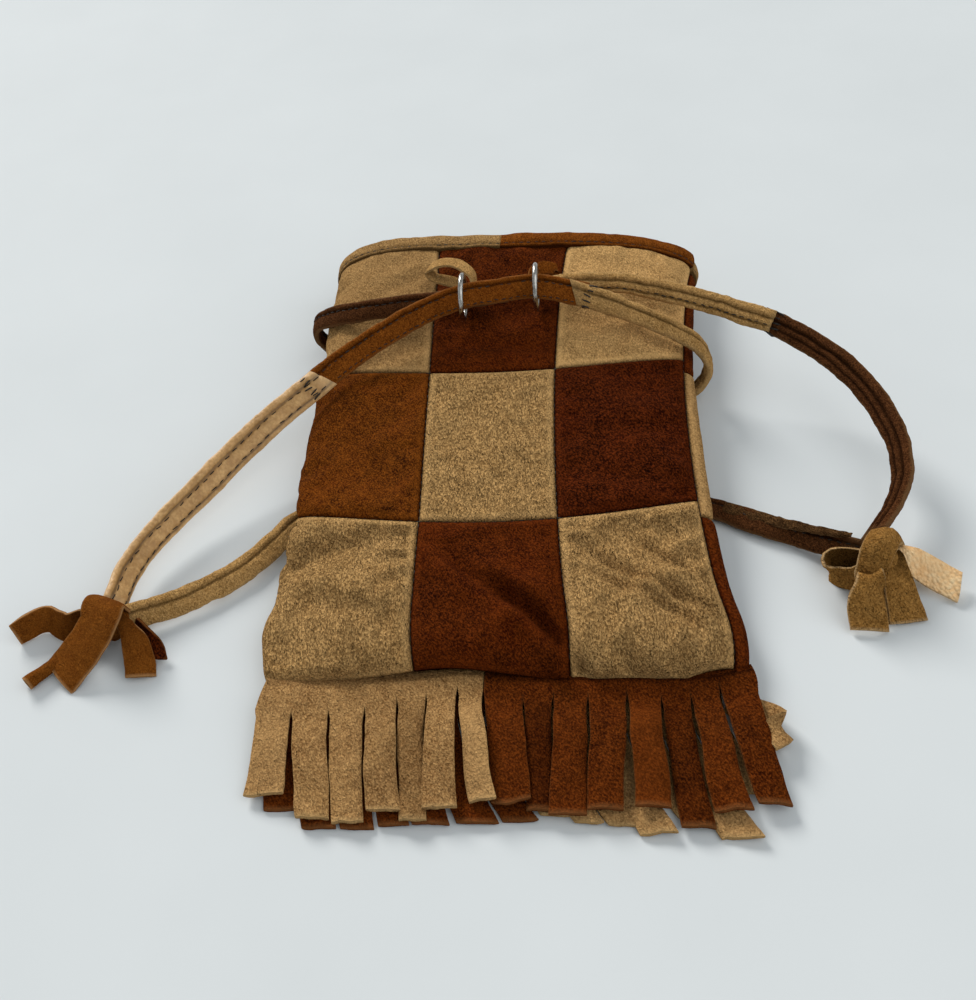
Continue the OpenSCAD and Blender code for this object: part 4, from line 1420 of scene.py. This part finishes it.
def add_patch(side, row, column):
    """One suede patch: puffed, turned down into its seams, with its creases, as a closed shell."""
    name = "_".join([side, ROWS[row], COLUMNS[column], "patch"])
    grid, normal, dx, dy, far, place = patch_grid(side, row, column, PATCH_STEPS[side])
    away = np.minimum(dx, dy)
    lift = puffed(dx, dy)
    if side == "front":
        lift = creased(lift, grid, row, column, away, far, place)
    lift = lift + lumps(grid, away) * (1 if side == "front" else 0.5)
    if row == 2:
        lift = gathered(lift, grid, dx, far)
    outer = grid + normal * lift[..., None]
    outer[..., 2] = np.maximum(outer[..., 2], LOWEST)
    inner = outer - grid_normals(outer, side) * SUEDE
    inner[..., 2] = np.maximum(inner[..., 2], LOWEST_INSIDE)
    verts, faces = closed_shell(outer, inner, side == "back")
    brown = is_brown(side, row, column)
    material = BROWN if brown else TAN
    if side == "front":
        material = PATCH_MATERIALS.get((row, column), material)
    patch = make_object(name, verts, faces, material, attributes=patch_painted_light(away, brown))
    declare(patch, suede_slot(brown), "pouch", name)
    return patch, flat_size(outer)


patches = {
    (side, row, column): add_patch(side, row, column)
    for side in SIDES for row in range(3) for column in range(3)
}


# ---- Seam threads ----
def groove_thread(side, s, y):
    """Stitches along a line on a panel, sunk into the groove of its seam."""
    line = panel_point(side, s, y)
    nearby = panel_point(side, np.clip(s + 0.01, 0, 1), y) - panel_point(side, np.clip(s - 0.01, 0, 1), y)
    ahead = panel_point(side, s, y + 0.5) - panel_point(side, s, y - 0.5)
    out = unit(np.cross(nearby, ahead)) * facing(side)
    across = np.cross(out, unit(np.gradient(line, axis=0)))
    return dashes(line, across, [0], 2.3, length=1.5, radius=0.12, lift=-0.8, wander=0.1)


def add_seam_threads():
    """Dark stitches at the bottom of the grooves between the patches."""
    y = np.linspace(SEAM_Y + 2, PATCH_TOP_Y, 150)
    across = np.linspace(0.01, 0.99, 120)
    parts = []
    for side in SIDES:
        parts += [groove_thread(side, np.full(y.shape, s), y) for s in COLUMN_SEAMS[1:3]]
        parts += [groove_thread(side, across, seam_line(side, row, across)) for row in (1, 2)]
    parts += [groove_thread("front", np.full(y.shape, s), y) for s in (0.0, 1.0)]
    verts, faces = merge(parts)
    declare(make_object("seam_threads", verts, faces, THREAD), "dark_brown_suede", "pouch")


add_seam_threads()


# ---- Mouth binding ----
BINDING_PROFILE = [
    # towards the mouth and out of the face, from the outer edge, over the rim, to the inner edge
    (-0.15, 0.0), (-0.05, 0.5), (0.4, 0.85), (1.3, 0.72), (2.4, 0.98), (4.0, 1.0),
    (5.2, 0.8), (6.0, 0.35), (6.35, -0.5), (6.1, -1.35), (5.2, -1.9), (4.0, -2.1),
    (2.4, -2.05), (1.0, -1.9), (0.1, -1.6), (0.0, -1.2),
]
BINDING_SPLIT = 0.505
BINDING_GAP = 0.0001
BINDING_POINTS = 75
BINDING_STITCHES = (1.3, 0.72)  # how far from the binding's outer edge, and how far out of the face


def add_binding(side, half):
    """A strip folded over the rim of the mouth, with its row of stitches."""
    name = f"{side}_{half}_mouth_binding"
    s0, s1 = (0, BINDING_SPLIT - BINDING_GAP) if half == "left" else (BINDING_SPLIT + BINDING_GAP, 1)
    s = np.linspace(s0, s1, BINDING_POINTS)
    y = seam_line(side, 3, s)
    line = panel_point(side, s, y)
    up = unit(panel_point(side, s, y + 4) - line)
    along = unit(np.gradient(line, axis=0))
    out = unit(np.cross(along, up)) * facing(side)
    up = unit(up - along * np.sum(up * along, -1, keepdims=True))
    profile = np.array(follow([(a, b, 0) for a, b in BINDING_PROFILE], 0.45))[:, :2]
    points = line[:, None] + up[:, None] * profile[:, :1] + out[:, None] * profile[:, 1:]
    faces = ring_faces(*points.shape[:2])
    if side == "back":
        faces = [f[::-1] for f in faces]
    verts = roughen(points.reshape(-1, 3), LOWEST, (6.0, 0.28, 31), (2.0, 0.12, 33))
    # painted shade along the stitch line and at the binding's outer edge, where it meets the patches
    groove = bell((profile[:, 0] - 1.3) / 0.5) * (profile[:, 1] > 0) * 0.7 + bell(profile[:, 0] / 0.3)
    tan = is_tan_half(side, half)
    binding = make_object(name, verts, faces, TAN if tan else BROWN_STRAP, attributes={
        "groove": np.tile(np.minimum(groove, 1), len(points)), "edge": np.zeros(len(verts)),
    })
    declare(binding, suede_slot(not tan), "pouch", name)
    stitch_line = line + up * BINDING_STITCHES[0] + out * BINDING_STITCHES[1]
    verts, faces = dashes(
        stitch_line, np.cross(out, along), [0], 2.2, length=1.3, radius=0.11, lift=0.0, wander=0.1,
    )
    stitches = make_object(name + "_stitches", verts, faces, THREAD)
    declare(stitches, "dark_brown_suede", "pouch")
    return [binding, stitches]


hems = {(side, half): add_binding(side, half) for side in SIDES for half in HALVES}


# ---- Fringe ----
# each strip: places across at the seam; the top of each slit as (x, y); then for each strand its tip as
# (left x, right x, y), how high it arches, how high the tip stands, its twist, how ragged the tip is and
# its painted light and shade: above 0 the strand is painted lighter, as if lit, and below 0 darker, as if
# shaded
LEFT_PLACES = [-54.2, -46.6, -38.4, -30.6, -23.6, -17.2, -10.4, -4.8]
FRINGES = {
    ("front", "left"): (
        LEFT_PLACES,
        [(-55.6, -65), (-47.3, -65), (-38.9, -64.5), (-30.9, -64),
         (-23.9, -61.5), (-17.5, -60), (-10.6, -58.5), (-4.9, -58.5)],
        [(-55.4, -45.8, -84.8, 0.8, 0.3, 0.8, 0.4, 0.35), (-42.9, -35.0, -90.2, 1.0, 0.0, -0.4, 0.6, 0.0),
         (-35.2, -27.7, -91.2, 0.7, 0.0, 0.3, 0.8, 0.05), (-28.2, -20.2, -88.8, 1.5, 0.7, -0.3, 0.5, -0.1),
         (-20.8, -14.4, -90.8, 0.3, 0.0, 0.0, 0.6, -0.3), (-17.0, -8.7, -88.3, 1.9, 0.9, 0.4, 0.3, 0.0),
         (-6.8, -0.2, -86.8, 2.8, 1.6, 1.4, 0.3, 0.6)],
    ),
    ("front", "right"): (
        [-4.6, 4.4, 10.9, 18.6, 27.1, 34.2, 40.6, 46.8, 54.6],
        [(-4.7, -60), (4.2, -61.7), (10.8, -60.4), (18.5, -60.9), (27.1, -60),
         (34.4, -61.3), (40.8, -60.8), (47.1, -58.4), (55.6, -58)],
        [(-2.0, 7.0, -86.6, 1.2, 1.0, 0.3, 1.4, 0.15), (5.4, 11.4, -88.4, 0.3, 0.0, 0.0, 0.6, -0.45),
         (9.9, 18.6, -89.3, 1.4, 0.3, -0.3, 0.3, 0.1), (17.9, 26.0, -88.4, 2.2, 1.0, 0.2, 0.3, 0.05),
         (27.8, 36.0, -87.8, 2.6, 1.4, -0.4, 0.3, 0.5), (36.4, 44.2, -91.6, 0.3, 0.0, 0.0, 0.4, -0.3),
         (43.6, 52.0, -88.4, 2.0, 0.9, 0.4, 0.2, 0.15), (52.4, 60.2, -86.8, 1.7, 0.6, -0.5, 0.2, -0.05)],
    ),
    ("back", "left"): (
        LEFT_PLACES,
        [(-54.6, -64), (-47, -65), (-39, -64), (-31, -65),
         (-24, -64), (-17.4, -64), (-10.6, -64), (-4.6, -64)],
        [(-50.4, -42.8, -87.6, 0.0, 0.2, 0.4, 0.4, 0.1), (-41.4, -33.6, -91.8, 0.0, 0.2, 0.3, 0.3, 0.1),
         (-33.2, -25.8, -91.9, 0.0, 0.1, -0.3, 0.3, 0.1), (-25.4, -18.6, -91.2, 0.0, 0.2, 0.2, 0.4, 0.1),
         (-18.2, -9.8, -90.9, 0.0, 0.3, 0.0, 0.3, 0.1), (-9.4, -0.2, -90.5, 0.0, 0.2, 0.0, 0.2, 0.1),
         (0.2, 8.0, -90.0, 0.0, 0.2, 0.3, 0.4, 0.1)],
    ),
    ("back", "right"): (
        [-4.4, 2.6, 10.2, 17.8, 25.4, 33.0, 40.4, 47.6],
        [(-4.4, -64), (3, -64), (10.6, -65), (18.2, -64),
         (25.8, -65), (33.2, -64), (40.6, -65), (48, -64)],
        [(8.4, 15.4, -88.6, 0.0, 0.1, 0.0, 0.3, 0.3), (15.7, 22.0, -90.3, 0.0, 0.2, 0.2, 0.4, 0.3),
         (22.3, 28.3, -90.8, 0.0, 0.1, -0.2, 0.3, 0.3), (28.7, 36.6, -92.6, 0.0, 0.4, 0.4, 0.7, 0.3),
         (36.8, 43.6, -89.0, 0.0, 0.1, 0.0, 0.3, 0.3), (44.8, 53.6, -93.4, 0.0, 0.3, 0.5, 0.8, 0.3),
         (49.4, 55.6, -83.0, 0.0, 0.1, 0.0, 0.3, 0.3)],
    ),
}
FRINGE_THICKNESS = 1.1
HEADER_ROWS = 8
SLIT_GAPS = [0.28, 0.7]  # of the back strips (level 0) and the front strips (level 1)
BACK_HEADER_HEIGHT = 1.25
BACK_STRAND_HEIGHT = 1.2
FRONT_HEADER_HEIGHT = 4.0
FRONT_STRAND_HEIGHT = 2.5
STRAND_ROWS = 22
STRAND_SHARES = np.concatenate([np.zeros(HEADER_ROWS), np.linspace(0, 1, STRAND_ROWS + 1)[1:]])
STRAND_PLACES = np.array([0, 0.04, 0.12, 0.26, 0.42, 0.58, 0.74, 0.88, 0.96, 1])
RAW_EDGE = 0.9
RIM_WEAR = (0.25, 0.15, 0.7)  # of the left, the right and the tip edge of a strand's upper face


def weld(verts, faces):
    """Joins points that lie in one place."""
    _, first, where = np.unique(np.round(verts, 4), axis=0, return_index=True, return_inverse=True)
    where = where.ravel()
    kept = [[int(where[i]) for i in f] for f in faces]
    return verts[first], [f for f in kept if len(set(f)) == len(f)], first


def bottom_seam(x):
    """How far along the pouch the front's bottom seam lies at a place across it."""
    return seam_line("front", 0, np.clip((np.asarray(x) + 55) / 110, 0, 1))


def strand_edge(seam_x, slit, tip_x, tip_y, level):
    """One long edge of a strand, from inside the seam, past the top of its slit, to the tip."""
    seam_y = bottom_seam(seam_x) if level else SEAM_Y
    q = np.linspace(0, 1, HEADER_ROWS)[:, None]
    header = np.array([seam_x, seam_y + 2.4]) * (1 - q) + np.array(slit) * q
    q = np.linspace(0, 1, STRAND_ROWS + 1)[1:]
    x = slit[0] + (tip_x - slit[0]) * (0.55 * q + 0.45 * q * q)
    return np.concatenate([header, np.stack([x, slit[1] + (tip_y - slit[1]) * q], -1)])


def strand_height(level, q):
    """Height of the upper face: over the seam, then down to the surface or to the strip below."""
    header, strand = np.linspace(0, 1, HEADER_ROWS), q[HEADER_ROWS:, 0]
    if not level:
        heights = [np.full(header.shape, BACK_HEADER_HEIGHT), np.full(strand.shape, BACK_STRAND_HEIGHT)]
        return np.concatenate(heights)[:, None]
    over = FRONT_HEADER_HEIGHT + 1.2 * np.sin(np.pi * 0.75 * header)
    down = FRONT_STRAND_HEIGHT + (over[-1] - FRONT_STRAND_HEIGHT) * (1 - strand) ** 1.7
    return np.concatenate([over, down])[:, None]


def at_points(x, y, z):
    """Points from their coordinates, any of which may be a single number."""
    return np.stack(np.broadcast_arrays(x, y, z), -1)


def strand_outline(strip, k, level):
    """Flat points of a strand and its part of the uncut header, in rows from the seam to its ragged tip."""
    seams, slits, tips = strip
    left_x, right_x, tip_y, _, _, _, ragged, _ = tips[k]
    left = strand_edge(seams[k], slits[k], left_x, tip_y, level)
    right = strand_edge(seams[k + 1], slits[k + 1], right_x, tip_y, level)
    u, q = STRAND_PLACES, STRAND_SHARES[:, None]
    flat = left[:, None] * (1 - u[:, None]) + right[:, None] * u[:, None]
    flat[..., 0] += (SLIT_GAPS[level] / 2) * smooth(q * 9) * (1 - 2 * u)
    flat[..., 0] += 0.35 * noise(at_points(9 * k, flat[:, 4:5, 1], 0), 9.0, 19) * smooth(q * 2)
    frayed = noise(at_points(flat[..., 0], 7 * k, 0), 2.2, 17) - 0.6
    flat[..., 1] += 0.6 * ragged * frayed * smooth((q - 0.8) / 0.2)
    return flat


def strand_top(flat, tip, level):
    """Heights of a strand's upper face, which arches, lifts at the tip, twists and bulges."""
    _, _, _, arch, stand, twist, _, _ = tip
    u, q = STRAND_PLACES, STRAND_SHARES[:, None]
    z = strand_height(level, q) + arch * np.sin(np.pi * np.minimum(1, q * 1.08)) * smooth(q * 3)
    z = z + stand * q ** 2
    z = z + 1.7 * twist * (u - 0.5) * smooth(q * 1.6)
    z = z + (0.45 if level else 0.1) * smooth(q * 2) * (1 - (2 * u - 1) ** 2)
    z = z + 0.4 * noise(at_points(flat[..., 0], flat[..., 1], 30 * level), 5.0, 21) * smooth(q * 4)
    return np.maximum(z, FRINGE_THICKNESS + (1.25 if level else 0.05))


def close_rims(verts, faces, edge, rims, below):
    """Closes cut edges round a middle line. Each lower point comes that many places after its upper one."""
    for rim in rims:
        start = len(verts)
        verts = np.concatenate([verts, (verts[rim] + verts[rim + below]) / 2])
        edge = np.concatenate([edge, np.full(len(rim), RAW_EDGE)])
        for i in range(len(rim) - 1):
            a, b, m, n = rim[i], rim[i + 1], start + i, start + i + 1
            faces += [[a, b, n, m], [m, n, b + below, a + below]]
    for rim, share in zip(rims, RIM_WEAR):
        edge[rim] = np.maximum(edge[rim], share)
    return verts, faces, edge


def strand_rims(k, last, rows, columns):
    """Upper points of a strand's cut edges. Only the strip's outer edges are cut along the header too."""
    at = np.arange(rows * columns).reshape(rows, columns)
    cut_left = at[0 if k == 0 else HEADER_ROWS - 1:, 0]
    cut_right = at[0 if k == last else HEADER_ROWS - 1:, -1]
    return [cut_left, cut_right[::-1], at[-1], at[0, ::-1]]


def strand_mesh(strip, k, level):
    """Points, faces, raw-edge share and painted light and shade of one strand with its part of the uncut
    header.
    """
    tips = strip[2]
    flat = strand_outline(strip, k, level)
    u = STRAND_PLACES
    shoulder = 0.26 * (np.exp(-u / 0.04) + np.exp(-(1 - u) / 0.04)) * smooth(STRAND_SHARES * 9)[:, None]
    z = strand_top(flat, tips[k], level) - shoulder
    top = np.concatenate([flat, z[..., None]], -1)
    bottom = top - [0, 0, FRINGE_THICKNESS]
    bottom[..., 2] += 2 * shoulder
    rows, columns = z.shape
    verts = np.concatenate([top.reshape(-1, 3), bottom.reshape(-1, 3)])
    faces = [list(f) for f in grid_faces(rows, columns, 0, True)]
    faces += [list(f) for f in grid_faces(rows, columns, z.size)]
    rims = strand_rims(k, len(tips) - 1, rows, columns)
    verts, faces, edge = close_rims(verts, faces, np.zeros(len(verts)), rims, z.size)
    shade = tips[k][-1]
    return verts, faces, edge, shade * smooth((SEAM_Y - 4 - verts[:, 1]) / 6)


FOLDED_STRAND = [
    # the last strand of the tan back strip, which bends back at its end
    (50.0, -60.6, 1.6, 0.2, 1, 0, 6.8), (53.6, -63.6, 1.8, 0.2, 1, 0, 7.4),
    (57.2, -66.4, 2.4, 0.1, 1, 0.1, 7.6), (59.2, -69.0, 3.4, -0.2, 1, 0.1, 7.2),
    (58.2, -71.2, 4.2, -0.3, 1, 0, 6.4), (56.2, -72.6, 4.0, -0.3, 1, 0, 5.6),
]


def add_fringe(side, half):
    """A strip sewn into the bottom seam and cut into strands, each lying its own way."""
    strip = FRINGES[side, half]
    level = 1 if side == "front" else 0
    strands = [strand_mesh(strip, k, level) for k in range(len(strip[2]))]
    if (side, half) == ("back", "right"):
        strands.append(ribbon_part(FOLDED_STRAND, FRINGE_THICKNESS))
    verts, faces, first = weld(*merge(strands))
    edge = np.concatenate([strand[2] for strand in strands])[first]
    shade = np.concatenate([strand[3] for strand in strands])[first]
    verts = roughen(verts, 0.03, (4.0, 0.12, 41), (1.4, 0.07, 43))
    name = f"{side}_{half}_fringe"
    tan = is_tan_half(side, half)
    # painted shade along the front strips' header, under the roll of the patches
    seam_shade = bell((verts[:, 1] - bottom_seam(verts[:, 0])) / 0.7) * level
    fringe = make_object(name, verts, faces, FRINGE_TAN if tan else FRINGE_BROWN, attributes={
        # painted shade on the darker strands and painted highlight on the lighter ones, from each strand's
        # value in FRINGES
        "groove": np.maximum(seam_shade * 0.7, np.maximum(-shade, 0)),
        "edge": edge,
        "pale": np.maximum(shade, 0),
    }, sharp=55)
    declare(fringe, suede_slot(not tan), "pouch", name)


for side in SIDES:
    for half in HALVES:
        add_fringe(side, half)


# ---- Ring tabs ----
TAB_THICKNESS = 0.8
TABS = {
    # material, slot and route, whose rows are like a tail's
    "left_ring_tab": (TAN_STRAP, "tan_suede", [
        (-14.6, 58.6, 24.4, 0, 1, -0.1, 4.0), (-12.6, 61.6, 25.8, 0.1, 1, -0.1, 4.2),
        (-12.8, 64.8, 28.2, 0.1, 1, -0.1, 4.4), (-15.6, 67.2, 30.0, 0.2, 1, -0.15, 4.6),
        (-19.6, 68.6, 30.4, 0.2, 1, -0.15, 4.8), (-23.4, 69.4, 29.2, 0.2, 1, -0.1, 4.8),
        (-25.6, 69.4, 27.2, 0.2, 1, -0.1, 4.6), (-24.2, 68.4, 25.8, 0.2, 1, -0.1, 4.4),
        (-20.6, 66.8, 25.6, 0.2, 1, 0, 4.2), (-16.8, 64.4, 25.6, 0.1, 1, 0, 4.0),
        (-14.8, 61.4, 24.8, 0, 1, 0, 3.8),
    ]),
    "right_ring_tab": (BROWN_STRAP, "brown_suede", [
        (5.6, 60.4, 23.6, 0, 1, 0.5, 3.4), (4.6, 62.6, 26.4, 0, 1, 0.6, 3.4),
        (5.2, 66.0, 28.2, 0, 1, 0.7, 3.6), (8.0, 68.0, 28.0, -0.2, 1, 0.6, 3.8),
        (10.8, 68.6, 26.4, -0.2, 1, 0.5, 3.8), (10.0, 66.6, 25.6, -0.1, 1, 0.3, 3.6),
        (7.4, 63.4, 25.4, 0, 1, 0.3, 3.4),
    ]),
}
for name, (material, slot, route) in TABS.items():
    add_soft_piece(name, [ribbon_part(route, TAB_THICKNESS)], material, slot, "pouch", uneven=0.12)
for name in ("left_ring", "right_ring"):
    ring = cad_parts[name]
    ring.data.materials.clear()
    ring.data.materials.append(NICKEL)
